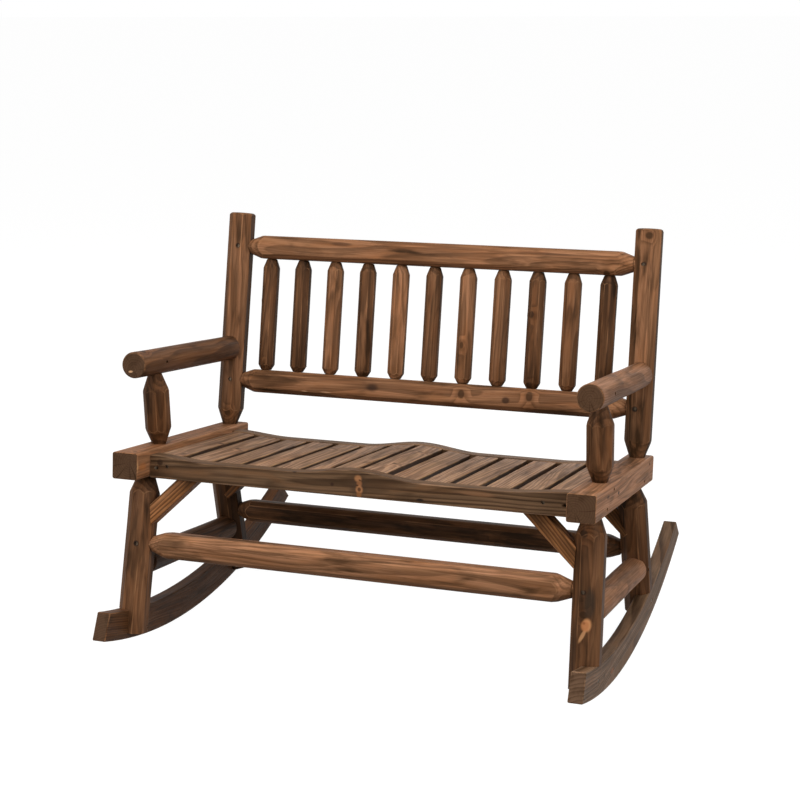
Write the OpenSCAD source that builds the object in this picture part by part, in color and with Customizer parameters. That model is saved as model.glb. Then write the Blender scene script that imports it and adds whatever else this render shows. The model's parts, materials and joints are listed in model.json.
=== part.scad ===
// Two-seat rocking bench in log style.
//
// The pieces are laid out in the seat's own frame: x = 0 is the middle of the bench, y = 0 the front ends
// of the seat beams and z = 0 the beam tops. at_rest() then leans the bench back on its rockers, with the
// origin on the floor under the middle of the contact line, +Z up and the front towards -Y.

/* [Overall] */
// Width over the outer faces of the two seat beams
frame_w = 1170; // [1090:5:1260]
// Angle that the seat leans back at rest
rest_tilt = 8.6; // [7.5:0.1:9.5]

/* [Seat beams] */
// Width of a seat beam
beam_w = 66; // [62:1:72]
// Height of a seat beam
beam_h = 64; // [60:1:70]
// Length of a seat beam, front to back
beam_l = 632; // [618:2:680]
// Radius on the long edges of a seat beam
beam_round = 5; // [2:0.5:8]

/* [Seat rails] */
// Thickness of a seat rail
rail_t = 42; // [38:1:48]
// Distance of the front rail behind the beam ends
rail_setback = 62; // [56:1:68]
// Depth of the rails' lower edge below the beam tops
rail_bottom = 66; // [62:1:72]
// Clear distance between the two seat rails
seat_span = 424; // [412:1:434]
// Radius on the long lower edges of a seat rail
rail_round = 3; // [1:0.5:5]
// Drop of a rail's top at the beams
dip_end = 10; // [7:0.5:13]
// Drop of a rail's top in the middle of each seat
dip_low = 20; // [17:0.5:23]
// Drop of a rail's top at the crest between the seats
dip_crest = 4; // [2:0.5:7]
// Run of the slope on each side of the crest
crest_run = 156; // [120:2:190]
// Run of the slope at each beam
end_run = 150; // [120:2:180]

/* [Seat slats] */
// Number of seat slats
slat_count = 14; // [12:1:16]
// Gap between two seat slats
slat_gap = 15.5; // [12:0.5:18]
// Thickness of a seat slat
slat_t = 18; // [15:0.5:20]
// Radius on the long edges of a slat
slat_round = 2.5; // [1:0.5:4]
// Gap between a slat's end and a rail
slat_end_gap = 2; // [1:0.5:4]
// Depth of the slat tops below the rail tops
slat_sink = 1.5; // [0.5:0.5:3]
// Thickness of the cleat behind each rail that carries the slats
cleat_t = 22; // [18:1:26]

/* [Back] */
// Distance of a back post behind the beam ends, at the beam top
post_y = 585; // [578:1:592]
// Lean of the back from square to the seat
recline = 4.7; // [3.5:0.1:6]
// Diameter of a back post
post_d = 68; // [64:1:72]
// Height of a back post above the beam, along its lean
post_h = 562; // [534:2:590]
// Inward lean of the back posts
post_lean_in = 0.5; // [0:0.1:1]
// Chamfer round the top of a back post
post_chamfer = 4; // [2:0.5:6]
// Height of the upper rail's centre line, along the lean
upper_rail_h = 474; // [455:1:490]
// Height of the lower rail's centre line, along the lean
lower_rail_h = 120; // [108:1:132]
// Thickness of a back rail between its flats
back_rail_d = 61; // [57:1:65]
// Width of the chamfers along a back rail
back_rail_chamfer = 12; // [9:0.5:15]
// Number of back spindles
spindle_count = 11; // [9:1:12]
// Distance from a post's inner face at the beam to the middle of the nearest spindle
spindle_margin = 63; // [56:0.5:80]
// Thickness of a spindle between its flats
spindle_d = 42; // [38:1:46]
// Diameter of a spindle's foot and point where they meet the rails
spindle_tip_d = 27; // [25:0.5:30]

/* [Arms] */
// Diameter of an armrest
arm_d = 63; // [58:1:68]
// Height of an armrest's centre line above the beam top
arm_h = 204.5; // [190:0.5:220]
// Distance of an armrest's front end behind the beam ends
arm_front = 38; // [28:1:50]
// Chamfer round an armrest's front end
arm_chamfer = 2; // [1:0.5:4]
// Distance of an arm support behind the beam ends, at the beam top
support_y = 175.5; // [168:0.5:190]
// Forward lean of an arm support
support_lean = 9.3; // [7:0.1:11]
// Thickness of an arm support between its flats
support_d = 60; // [56:1:63]

/* [Legs] */
// Diameter of a leg
leg_d = 72; // [68:1:75]
// Outward splay of the legs
leg_splay = 1.5; // [1:0.1:2.2]
// Distance of a front leg behind the beam ends, under the beam
front_leg_y = 112; // [104:1:120]
// Forward lean of a front leg's foot
front_leg_lean = 6.5; // [5:0.1:8]
// Distance of a rear leg behind the beam ends, under the beam
rear_leg_y = 535; // [530:1:542]
// Backward lean of a rear leg's foot
rear_leg_lean = 21.5; // [20:0.1:23]
// Height of a leg's inner half above the rocker's lower edge
foot_lift = 13; // [9:0.5:18]

/* [Stretchers] */
// Depth of the front and rear stretchers' centre line below the beam tops
stretcher_drop = 233; // [226:1:240]
// Thickness of the front stretcher between its flats
front_stretcher_d = 60; // [56:1:64]
// Thickness of the rear stretcher between its flats
rear_stretcher_d = 56; // [52:1:60]
// Width of the chamfers along a stretcher
stretcher_chamfer = 12; // [9:0.5:15]
// Depth of the side stretchers' centre line below the beam tops
side_stretcher_drop = 284; // [278:1:292]
// Diameter of a side stretcher
side_stretcher_d = 64; // [60:1:66]

/* [Braces] */
// Width of a corner brace, seen from the front
brace_w = 43; // [38:1:47]
// Thickness of a corner brace, front to back
brace_t = 38; // [34:1:42]
// Angle of a corner brace below the seat rail
brace_angle = 43.5; // [40:0.5:47]
// Depth below the beam tops where a brace's middle line meets its leg
brace_drop = 154; // [148:1:160]
// Distance from the rear leg's middle at that depth forward to the rear brace's middle
rear_brace_shift = 4; // [2:0.5:8]

/* [Rockers] */
// Thickness of a rocker
rocker_t = 34; // [30:1:38]
// Distance of a rocker's inner face outside the beam's middle line
lap_out = 6; // [4:0.5:9]
// Radius of a rocker's lower edge
rocker_r = 1575; // [1500:5:1650]
// Radius of a rocker's upper edge
rocker_top_r = 1668; // [1600:4:1740]
// Depth of the lower edge's lowest point below the beam tops
rocker_drop = 473; // [465:1:485]
// Depth of a rocker from its upper to its lower edge
rocker_depth = 73; // [68:1:78]
// Distance of the lower edge's centre behind the beam ends
rocker_y = 240; // [225:1:260]
// Distance that the upper edge's centre lies in front of the lower edge's
rocker_top_shift = 18; // [10:1:28]
// Distance of the front lower corner ahead of the beam ends
rocker_front = 76; // [60:1:95]
// Slant of the front end cut from square to the seat
rocker_front_cut = 21; // [12:1:30]
// Distance of the rear lower corner behind the beam ends
rocker_rear = 1020; // [990:1:1050]
// Slant of the rear end cut from square to the seat
rocker_rear_cut = 53; // [45:1:60]
// Bevel along a rocker's upper and lower edges
rocker_bevel = 2; // [1:0.5:4]

/* [Joinery] */
// Slope of the long tapers at the ends of the logs
taper_slope = 20; // [17:0.5:24]
// Slope of the short tapers at the spindles' feet
foot_slope = 30; // [24:0.5:34]
// Diameter of the tenons of posts and legs, and of the back rails and stretchers
tenon_d = 35; // [30:0.5:36]
// Diameter of a log's end where its taper meets the next piece
tip_d = 38; // [37:0.5:42]
// Length of those tenons in the seat beams
beam_tenon = 29; // [26:0.5:31]
// Length of those tenons in the posts and legs
log_tenon = 38; // [35:0.5:40]
// Diameter of the tenons of arm supports and side stretchers
small_tenon_d = 30; // [26:0.5:31]
// Diameter of an arm support's ends where they meet the beam and the armrest
small_tip_d = 34; // [32:0.5:38]
// Diameter of a spindle's tenons
spindle_tenon_d = 20; // [16:0.5:22]
// Length of a spindle's tenons
spindle_tenon = 18; // [14:0.5:22]
// Clearance round a tenon in its mortise
tenon_fit = 0.3; // [0.2:0.05:0.5]
// Depth left free beyond the end of a tenon
mortise_spare = 1; // [0.5:0.5:2]
// Gap between two curved pieces that are fitted to each other
cope_gap = 0.3; // [0.2:0.05:0.6]
// Gap left under a slat where it lies on its cleat
seat_gap = 0.1; // [0.05:0.05:0.3]

/* [Fasteners] */
// Diameter of a frame screw's shank
screw_d = 4.5; // [4:0.1:5]
// Length of a frame screw
screw_l = 45; // [42:0.5:47]
// Diameter of a frame screw's head
head_d = 8.6; // [7.6:0.1:9.4]
// Thickness of a frame screw's head
head_h = 2.4; // [2:0.1:3]
// Side of the square drive in a frame screw's head
drive_w = 3; // [2.4:0.1:3.4]
// Depth that a frame screw is sunk below the surface
screw_sink = 6; // [4.5:0.5:7]
// Diameter of a slat screw's shank
slat_screw_d = 3.5; // [3:0.1:4]
// Length of a slat screw
slat_screw_l = 32; // [28:0.5:34]
// Depth that a slat screw goes into a slat
slat_screw_bite = 11; // [8:0.5:13]
// Diameter of a long bolt's shank, in armrests and rockers
bolt_d = 6; // [5:0.2:7]
// Length of an armrest bolt
arm_bolt_l = 88; // [84:1:94]
// Length of a rocker bolt
rocker_bolt_l = 58; // [54:1:62]
// Diameter of a bolt's head
bolt_head_d = 10; // [8.4:0.2:12]
// Thickness of a bolt's head
bolt_head_h = 3; // [2:0.2:4]
// Diameter of a nail's shank
nail_d = 2.6; // [2:0.1:3.2]
// Length of a nail
nail_l = 44; // [38:1:50]
// Diameter of a nail's head
nail_head_d = 6; // [4.5:0.1:7]
// Clearance of a screw, bolt or nail in its hole
hole_fit = 0.2; // [0.1:0.05:0.4]
// Clearance round a head in its counterbore
head_fit = 0.5; // [0.3:0.1:0.8]

/* [Hidden] */
$fn = 96;
eps = 0.05;
WOOD = "#6a4732";
LIGHT_WOOD = "#8a6145";
DARK_WOOD = "#3a271c";
STEEL = "#b9bcc0";
SIDES = ["left", "right"];

// Planed off a log's diameter to give it flats
peel = 3.2;
// Distance that tapered ends are drawn past the beam before they are cut off flat on it
past = 20;
// Steps that a seat rail's top outline is drawn with
rail_steps = 84;
// Height above an armrest's middle line where the arm support's tenon ends
arm_tenon_past = 10;
// Distance past a leg's middle line where a side stretcher's tenon ends
side_tenon_past = 2;
// Depth that the square ends of armrests and side stretchers are let into post and leg, and their chamfer
butt_depth = 4;
butt_chamfer = 3;

// Depth of the drive as a share of a head's thickness, and clear bore drawn outwards from a head
drive_depth = 0.6;
bore_out = 18;
// Thickness of a nail's head and its depth in the leg
nail_head_h = 1.2;
nail_head_sink = 2;
// Nails: distance below the rocker's middle line and behind the leg's
nail_below = 8;
nail_aside = 12;
// Rocker bolts: distance behind the leg's middle line and depth of the head
bolt_aside = 6;
bolt_sink = 1;
// Pins: distance inside a post's or leg's middle line, in front of a rear leg's and behind a support's
pin_inset = 6;
side_pin_shift = 14;
arm_pin_shift = 8;
// Toe screws: distance inside the beam, angle, depth and heights in the front and rear rail
toe_inset = 19;
toe_angle = 40;
toe_sink = 4.5;
toe_drop_front = 41;
toe_drop_rear = 22;
// Cleat screws: the two end ones as [side, distance inside the beam, drop], and the others' drop
end_screws = [[-1, 46, 36], [1, 68, 38]];
cleat_screw_drop = 54;
// Depth of a brace screw's head as a share of the brace's width
brace_head_depth = 0.45;

function two_digits(n) = str(n < 10 ? "0" : "", n);
function slat_name(i) = str("seat_slat_", two_digits(i));
function spindle_name(i) = str("back_spindle_", two_digits(i));
function side_sign(side) = side == "left" ? -1 : 1;

// ---- derived places ----
log_x = frame_w / 2 - beam_w / 2;
inner_x = frame_w / 2 - beam_w;
front_rail_y = rail_setback;
rear_rail_y = rail_setback + rail_t + seat_span;
slat_pitch = 2 * inner_x / slat_count;
slat_w = slat_pitch - slat_gap;
cleat_screw_step = 3 * slat_pitch;
lap_x = log_x + lap_out;
spindle_low = lower_rail_h + back_rail_d / 2;
spindle_high = upper_rail_h - back_rail_d / 2;
// Height along the support's lean where its upper tenon ends
arm_tenon_top = (arm_h + arm_tenon_past) / cos(support_lean);
back_w = 2 * log_x;

// Centres of the rocker's lower and upper edges, as [y, z]
rocker_c = [rocker_y, rocker_r - rocker_drop];
rocker_top_c = [rocker_y - rocker_top_shift, rocker_top_r - rocker_drop + rocker_depth];

// Drop of the rail tops at a distance x from the middle
function blend(t) = (1 - cos(180 * min(max(t, 0), 1))) / 2;
function rail_top(x) = -dip_crest - (dip_low - dip_crest) * blend(abs(x) / crest_run)
    + (dip_low - dip_end) * blend((abs(x) - inner_x + end_run) / end_run);

// A slat lies on the chord of the rail tops between its two edges
function slat_x(i) = (i - (slat_count + 1) / 2) * slat_pitch;
function slat_rise(i) = rail_top(slat_x(i) + slat_w / 2) - rail_top(slat_x(i) - slat_w / 2);
function slat_tilt(i) = atan(slat_rise(i) / slat_w);
function slat_z(i) = (rail_top(slat_x(i) + slat_w / 2) + rail_top(slat_x(i) - slat_w / 2)) / 2 - slat_sink;
// Point of the cleat's seat under an edge of a slat, as [x, z]; edge is -1 or 1
function slat_foot(i, edge) = [
    slat_x(i) + edge * slat_w / 2 * cos(slat_tilt(i)) + slat_t * sin(slat_tilt(i)),
    slat_z(i) + edge * slat_w / 2 * sin(slat_tilt(i)) - slat_t * cos(slat_tilt(i)) - seat_gap];

// Middle line of a leg at the height z, on the right side
function leg_point(y, lean, z) = [
    log_x - tan(leg_splay) * (z + beam_h),
    y + tan(lean) / cos(leg_splay) * (z + beam_h),
    z];
function front_leg_at(z) = leg_point(front_leg_y, front_leg_lean, z);
function rear_leg_at(z) = leg_point(rear_leg_y, -rear_leg_lean, z);

// Height of a circle's lower side at y, for a centre c = [y, z]
function arc_z(c, r, y) = c[1] - sqrt(r * r - (y - c[0]) * (y - c[0]));
function rocker_low(y) = arc_z(rocker_c, rocker_r, y);
function rocker_mid(y) = (rocker_low(y) + arc_z(rocker_top_c, rocker_top_r, y)) / 2;

// Inward shift of a post's middle line at a height along its lean
function post_in(h) = h * tan(post_lean_in);
spindle_pitch = (2 * log_x - post_d - 2 * spindle_margin) / (spindle_count - 1);
// Where an armrest's rear end and a side stretcher's two ends are cut off square
arm_end = post_y + tan(recline) * arm_h - (post_d - peel) / 2 / cos(recline) + butt_depth;
side_ends = [
    front_leg_at(-side_stretcher_drop)[1] + (leg_d - peel) / 2 / cos(front_leg_lean) - butt_depth,
    rear_leg_at(-side_stretcher_drop)[1] - (leg_d - peel) / 2 / cos(rear_leg_lean) + butt_depth];

// Length of a taper from one diameter to another
function taper_run(d, tip, slope) = (d - tip) / 2 / tan(slope);
// Diameter that a taper would reach at a distance past its tip
function past_tip(tip, distance) = tip - 2 * distance * tan(taper_slope);

// Fasteners as [length, shank diameter, head diameter, head thickness]
frame_spec = [screw_l, screw_d, head_d, head_h];
slat_spec = [slat_screw_l, slat_screw_d, head_d, head_h];
arm_bolt_spec = [arm_bolt_l, bolt_d, bolt_head_d, bolt_head_h];
rocker_bolt_spec = [rocker_bolt_l, bolt_d, bolt_head_d, bolt_head_h];
nail_spec = [nail_l, nail_d, nail_head_d, nail_head_h];

// ---- frames ----
// The rest attitude: leaned back by rest_tilt, lowest line of the rockers on the floor
rest_y = rocker_c[0] * cos(rest_tilt) + rocker_c[1] * sin(rest_tilt);
rest_z = rocker_r + rocker_c[0] * sin(rest_tilt) - rocker_c[1] * cos(rest_tilt);
module at_rest() {
    translate([0, -rest_y, rest_z]) rotate([-rest_tilt, 0, 0]) children();
}

// Pieces of a side are drawn on the right and mirrored for the left
module on_side(sign) {
    mirror([sign < 0 ? 1 : 0, 0, 0]) children();
}

// The back's own frame: z runs up the posts, y square out of the back
module back_frame() {
    translate([0, post_y, 0]) rotate([-recline, 0, 0]) children();
}

// The right post's frame, leaned in from the back's
module post_frame() {
    back_frame() translate([log_x, 0, 0]) rotate([0, -post_lean_in, 0]) children();
}

module leg_frame(y, lean) {
    translate([log_x, y, -beam_h]) rotate([-lean, -leg_splay, 0]) children();
}

module support_frame() {
    translate([log_x, support_y, 0]) rotate([support_lean, 0, 0]) children();
}

// Lays a shape drawn along +Z along +X or +Y
module along_x() {
    rotate([0, 90, 0]) children();
}
module along_y() {
    rotate([-90, 0, 0]) children();
}

// ---- shared shapes ----
// A round log along +Z from 0 to len; each end is [diameter, taper length]
module turned(len, d, low, high) {
    rotate_extrude()
        polygon([[0, 0], [low[0] / 2, 0], [d / 2, low[1]], [d / 2, len - high[1]], [high[0] / 2, len], [0, len]]);
}

// Squared timber with chamfered edges along +Z
module chamfered_prism(len, across, chamfer) {
    diagonal = sqrt(2) * (across - chamfer);
    intersection() {
        translate([-across / 2, -across / 2, 0]) cube([across, across, len]);
        rotate([0, 0, 45]) translate([-diagonal / 2, -diagonal / 2, 0]) cube([diagonal, diagonal, len]);
    }
}

// Diameter just clear of an eight-sided timber's corners
function corner_d(across) = across / cos(22.5) + 1;

// Eight-sided timber along +Z, with flats towards x and y
module eight_sided(len, across) {
    rotate([0, 0, 22.5]) cylinder(h = len, d = across / cos(22.5), $fn = 8);
}

// A peeled log keeps its round between eight planed flats
module peeled(len, d, low, high) {
    intersection() {
        turned(len, d, low, high);
        eight_sided(len, d - peel);
    }
}

// A squared log between two legs or posts, along +X, pencil-pointed, with a tenon at each end
module pointed_rail(len, across, chamfer) {
    round_d = 2 * norm([across / 2, across / 2 - chamfer]) + 1;
    run = taper_run(round_d, tip_d, taper_slope);
    along_x() {
        intersection() {
            translate([0, 0, -len / 2]) turned(len, round_d, [tip_d, run], [tip_d, run]);
            translate([0, 0, -len / 2]) chamfered_prism(len, across, chamfer);
        }
        cylinder(h = len + 2 * log_tenon, d = tenon_d, center = true);
    }
}

module rounded_bar(w, h, len, r) {
    along_y() linear_extrude(len) translate([-w / 2, 0]) {
        translate([r, 0]) square([w - 2 * r, h]);
        translate([0, r]) square([w, h - 2 * r]);
        for (x = [r, w - r], y = [r, h - r]) translate([x, y]) circle(r);
    }
}

// A screw along +Z, from the top of its head; a nail has no drive
module screw(spec, drive = true) {
    straight = spec[0] - spec[1];
    difference() {
        cylinder(h = spec[3], d = spec[2]);
        if (drive) translate([-drive_w / 2, -drive_w / 2, -eps]) cube([drive_w, drive_w, drive_depth * spec[3]]);
    }
    translate([0, 0, spec[3] - eps]) cylinder(h = straight - spec[3] + eps, d = spec[1]);
    translate([0, 0, straight - eps]) cylinder(h = spec[1], d1 = spec[1], d2 = spec[1] / 4);
}

// Its hole: a counterbore down to the seat of the head, then the bore of the shank
module screw_hole(spec) {
    translate([0, 0, -bore_out]) cylinder(h = bore_out + spec[3], d = spec[2] + head_fit);
    cylinder(h = spec[0] + mortise_spare, d = spec[1] + hole_fit);
}

// ---- places of the fasteners, each drawn along +Z from its head ----
// Pins from a beam's outer face into the tenons of support, leg, leg and post
beam_pins = [
    [support_y + tan(support_lean) * beam_tenon / 2, -beam_tenon / 2],
    [front_leg_at(beam_tenon / 2 - beam_h)[1], beam_tenon / 2 - beam_h],
    [rear_leg_at(beam_tenon / 2 - beam_h)[1], beam_tenon / 2 - beam_h],
    [post_y - tan(recline) * beam_tenon / 2, -beam_tenon / 2]];
module at_beam_pins() {
    for (p = beam_pins) translate([frame_w / 2 - screw_sink, p[0], p[1]]) rotate([0, -90, 0]) children();
}

// Pins from the front of a post into the tenons of the two back rails
module at_post_pins() {
    for (h = [upper_rail_h, lower_rail_h]) back_frame()
        translate([log_x - pin_inset - post_in(h), screw_sink - post_d / 2, h]) along_y() children();
}

// Pins into the stretcher tenons, from the front of a front leg and from the back of a rear leg
module at_leg_pins(row) {
    p = row == "front" ? front_leg_at(-stretcher_drop) : rear_leg_at(-stretcher_drop);
    away = row == "front" ? -1 : 1;
    lean = row == "front" ? front_leg_lean : -rear_leg_lean;
    translate([p[0] - pin_inset, p[1], p[2]]) rotate([-lean, 0, 0])
        translate([0, away * (leg_d / 2 - screw_sink), 0]) rotate([away * 90, 0, 0]) children();
}

// Pin from the outer side of a rear leg into the side stretcher's tenon
module at_side_pin() {
    p = rear_leg_at(-side_stretcher_drop);
    translate([p[0] + leg_d / 2 - screw_sink, p[1] - side_pin_shift, p[2]]) rotate([0, -90, 0]) children();
}

// Pin into an arm support's upper tenon; on both arms it is driven from the bench's right
module at_arm_pin(sign) {
    y = support_y - tan(support_lean) * arm_h + arm_pin_shift;
    translate([log_x + sign * (arm_d / 2 - screw_sink), y, arm_h]) rotate([0, -sign * 90, 0]) children();
}

// Bolt from the back of a post into the armrest
module at_arm_bolt() {
    y = post_y + tan(recline) * arm_h + post_d / 2 - 2 * screw_sink;
    translate([log_x, y, arm_h]) rotate([90, 0, 0]) children();
}

// Toe screws through the rail ends into the beams; row gives the face that they start from
module at_toe_screws(row) {
    y = row == "front" ? front_rail_y : rear_rail_y + rail_t;
    z = row == "front" ? -toe_drop_front : -toe_drop_rear;
    turn = row == "front" ? -toe_angle : 180 + toe_angle;
    translate([inner_x - toe_inset, y, z]) rotate([0, 0, turn]) translate([0, toe_sink, 0]) along_y() children();
}

// Screws between a rail and its cleat: the outer pair through the rail, the rest through the cleat
module at_cleat_screws(row) {
    forward = row == "front" ? 1 : -1;
    face = row == "front" ? front_rail_y : rear_rail_y + rail_t;
    back = face + forward * (rail_t + cleat_t);
    for (s = end_screws) translate([s[0] * (inner_x - s[1]), face + forward * screw_sink, -s[2]])
        rotate([-forward * 90, 0, 0]) children();
    for (x = [-1:1]) translate([x * cleat_screw_step, back - forward * screw_sink, -cleat_screw_drop])
        rotate([forward * 90, 0, 0]) children();
}

// Screws up through a cleat into each slat
module at_slat_screw(i, row) {
    y = row == "front" ? front_rail_y + rail_t + cleat_t / 2 : rear_rail_y - cleat_t / 2;
    translate([slat_x(i), y, slat_z(i)]) rotate([0, -slat_tilt(i), 0])
        translate([0, 0, slat_screw_bite - slat_t - slat_screw_l]) children();
}

// Middle of a corner brace, front to back
function brace_y(row) = row == "front" ? front_leg_at(-brace_drop)[1] : rear_leg_at(-brace_drop)[1] - rear_brace_shift;
function brace_leg_x() = front_leg_at(-brace_drop)[0] - leg_d / 2;
// Screws through a brace: one up into the rail, one out into the leg
module at_brace_screws(row) {
    rail_y = row == "front" ? front_rail_y + rail_t : rear_rail_y + rail_t;
    brace_front = brace_y(row) - brace_t / 2;
    up_x = brace_leg_x() - (brace_drop - rail_bottom) / tan(brace_angle);
    translate([up_x, (rail_y + brace_front) / 2, -rail_bottom - brace_w * brace_head_depth])
        children();
    translate([brace_leg_x() - brace_w * brace_head_depth, brace_y(row), -brace_drop]) along_x() children();
}

// Distance behind the beam ends at which a leg's middle line crosses its rocker
lap_y = [front_leg_at(-rocker_drop + rocker_depth / 2)[1], rear_leg_at(-rocker_drop + rocker_depth * 1.2)[1]];

// Bolt from the outer face of a rocker through it into the leg
module at_rocker_bolt(row) {
    y = lap_y[row == "front" ? 0 : 1] + bolt_aside;
    translate([lap_x + rocker_t - bolt_sink, y, rocker_mid(y)]) rotate([0, -90, 0]) children();
}

// Nail from the inner side of a leg's foot through the lap into the rocker
module at_rocker_nail(row) {
    z = rocker_mid(lap_y[row == "front" ? 0 : 1]) - nail_below;
    leg = row == "front" ? front_leg_at(z) : rear_leg_at(z);
    inner = leg[0] - sqrt(leg_d * leg_d / 4 - nail_aside * nail_aside) + nail_head_sink;
    translate([inner, leg[1] + nail_aside, z]) along_x() children();
}

// ---- seat frame ----
module seat_beam(side) {
    color(WOOD) at_rest() on_side(side_sign(side)) difference() {
        translate([log_x, 0, 0]) rounded_bar(beam_w, beam_h, beam_l, beam_round);
        post_frame() translate([0, 0, -beam_tenon - mortise_spare]) mortise(tenon_d, 2 * beam_tenon);
        support_frame() translate([0, 0, -beam_tenon - mortise_spare]) mortise(small_tenon_d, 2 * beam_tenon);
        leg_frame(front_leg_y, front_leg_lean) translate([0, 0, -beam_tenon])
            mortise(tenon_d, 2 * beam_tenon + mortise_spare);
        leg_frame(rear_leg_y, -rear_leg_lean) translate([0, 0, -beam_tenon])
            mortise(tenon_d, 2 * beam_tenon + mortise_spare);
        at_beam_pins() screw_hole(frame_spec);
        at_toe_screws("front") screw_hole(frame_spec);
        at_toe_screws("rear") screw_hole(frame_spec);
    }
}

module mortise(d, len) {
    cylinder(h = len, d = d + tenon_fit);
}

// A rail's outline, x across and z up
module rail_outline(w) {
    step = 2 * w / rail_steps;
    polygon(concat(
        [for (i = [0:rail_steps]) [-w + i * step, rail_top(-w + i * step)]],
        [[w, -rail_bottom], [-w, -rail_bottom]]));
}

module seat_rail(row) {
    y = row == "front" ? front_rail_y : rear_rail_y;
    color(WOOD) at_rest() difference() {
        translate([0, y + rail_t, 0]) rotate([90, 0, 0]) linear_extrude(rail_t) rail_outline(inner_x);
        for (edge = [0, 1]) translate([0, y + edge * rail_t, -rail_bottom]) rotate([0, 0, 180 * edge])
            rail_edge_cut();
        at_cleat_screws(row) screw_hole(frame_spec);
        for (sign = [-1, 1]) on_side(sign) {
            at_toe_screws(row) screw_hole(frame_spec);
            at_brace_screws(row) screw_hole(frame_spec);
        }
    }
}

// Rounds a long lower edge: the corner block less a quarter round
module rail_edge_cut() {
    translate([-inner_x - 1, 0, 0]) difference() {
        translate([0, -1, -1]) cube([2 * inner_x + 2, rail_round + 1, rail_round + 1]);
        translate([0, rail_round, rail_round]) along_x() cylinder(h = 2 * inner_x + 2, r = rail_round);
    }
}

module slat_cleat(row) {
    y = row == "front" ? front_rail_y + rail_t : rear_rail_y - cleat_t;
    top = [for (i = [1:slat_count]) for (edge = [-1, 1]) slat_foot(i, edge)];
    last = len(top) - 1;
    color(DARK_WOOD) at_rest() difference() {
        translate([0, y + cleat_t, 0]) rotate([90, 0, 0]) linear_extrude(cleat_t) polygon(concat(
            [[-inner_x, top[0][1]]], top, [[inner_x, top[last][1]], [inner_x, -rail_bottom], [-inner_x, -rail_bottom]]));
        for (i = [1:slat_count]) at_slat_screw(i, row)
            screw_hole(slat_spec);
        at_cleat_screws(row) screw_hole(frame_spec);
        for (sign = [-1, 1]) on_side(sign) at_brace_screws(row) screw_hole(frame_spec);
    }
}

module seat_slat(i) {
    y = front_rail_y + rail_t + slat_end_gap;
    color(LIGHT_WOOD) at_rest() difference() {
        translate([slat_x(i), y, slat_z(i)]) rotate([0, -slat_tilt(i), 0])
            rounded_bar(slat_w, slat_t, seat_span - 2 * slat_end_gap, slat_round);
        for (row = ["front", "rear"]) at_slat_screw(i, row)
            screw_hole(slat_spec);
    }
}

// ---- back ----
module back_post(side) {
    foot = taper_run(post_d, tip_d, taper_slope);
    color(WOOD) at_rest() on_side(side_sign(side)) difference() {
        union() {
            intersection() {
                post_frame() translate([0, 0, -past]) peeled(post_h + past, post_d,
                    [past_tip(tip_d, past), foot + past], [post_d - 2 * post_chamfer, post_chamfer]);
                above_beam();
            }
            post_frame() translate([0, 0, -beam_tenon]) cylinder(h = 2 * beam_tenon, d = tenon_d);
        }
        for (h = [upper_rail_h, lower_rail_h]) back_frame() translate([log_x - post_d - post_in(h), 0, h])
            along_x() mortise(tenon_d, (post_d + peel) / 2 + log_tenon + mortise_spare);
        butt_housing([log_x, arm_front, arm_h], arm_end, arm_d);
        at_post_pins() screw_hole(frame_spec);
        at_beam_pins() screw_hole(frame_spec);
        at_arm_bolt() screw_hole(arm_bolt_spec);
    }
}

// Room for a round log with square ends, from a point back to y = to
module butt_housing(from, to, d) {
    translate(from) along_y() cylinder(h = to - from[1] + cope_gap, d = d + 2 * cope_gap);
}

module above_beam() {
    translate([0, -beam_l, 0]) cube([2 * frame_w, 3 * beam_l, 2 * post_h]);
}
module below_beam() {
    translate([0, -beam_l, -beam_h - 2 * rocker_drop]) cube([2 * frame_w, 3 * beam_l, 2 * rocker_drop]);
}

// The rails' ends clear the leaned posts by this much in all
rail_ease = (tip_d + 1) * tan(post_lean_in);

module back_rail(h) {
    color(WOOD) at_rest() difference() {
        back_frame() translate([0, 0, h])
            pointed_rail(back_w - 2 * post_in(h) - post_d + peel - rail_ease, back_rail_d, back_rail_chamfer);
        for (i = [1:spindle_count]) spindle_place(i) spindle_mortises();
        for (sign = [-1, 1]) on_side(sign) at_post_pins() screw_hole(frame_spec);
    }
}

module spindle_place(i) {
    back_frame() translate([(i - (spindle_count + 1) / 2) * spindle_pitch, 0, spindle_low]) children();
}

module spindle_mortises() {
    depth = spindle_tenon + mortise_spare;
    translate([0, 0, -depth]) mortise(spindle_tenon_d, depth + eps);
    translate([0, 0, spindle_high - spindle_low - eps]) mortise(spindle_tenon_d, depth + eps);
}

module back_spindle(i) {
    len = spindle_high - spindle_low;
    round_d = corner_d(spindle_d);
    color(WOOD) at_rest() spindle_place(i) {
        intersection() {
            turned(len, round_d, [spindle_tip_d, taper_run(round_d, spindle_tip_d, foot_slope)],
                [spindle_tip_d, taper_run(round_d, spindle_tip_d, taper_slope)]);
            eight_sided(len, spindle_d);
        }
        translate([0, 0, -spindle_tenon]) cylinder(h = len + 2 * spindle_tenon, d = spindle_tenon_d);
    }
}

// ---- arms ----
module arm_log(d) {
    translate([log_x, arm_front, arm_h]) along_y() cylinder(h = post_y, d = d);
}

module armrest(side) {
    sign = side_sign(side);
    color(WOOD) at_rest() on_side(sign) difference() {
        translate([log_x, arm_front, arm_h]) along_y() turned(arm_end - arm_front, arm_d,
            [arm_d - 2 * arm_chamfer, arm_chamfer], [arm_d - 2 * butt_chamfer, butt_chamfer]);
        support_frame() mortise(small_tenon_d, arm_tenon_top + mortise_spare);
        at_arm_pin(sign) screw_hole(frame_spec);
        at_arm_bolt() screw_hole(arm_bolt_spec);
    }
}

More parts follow.
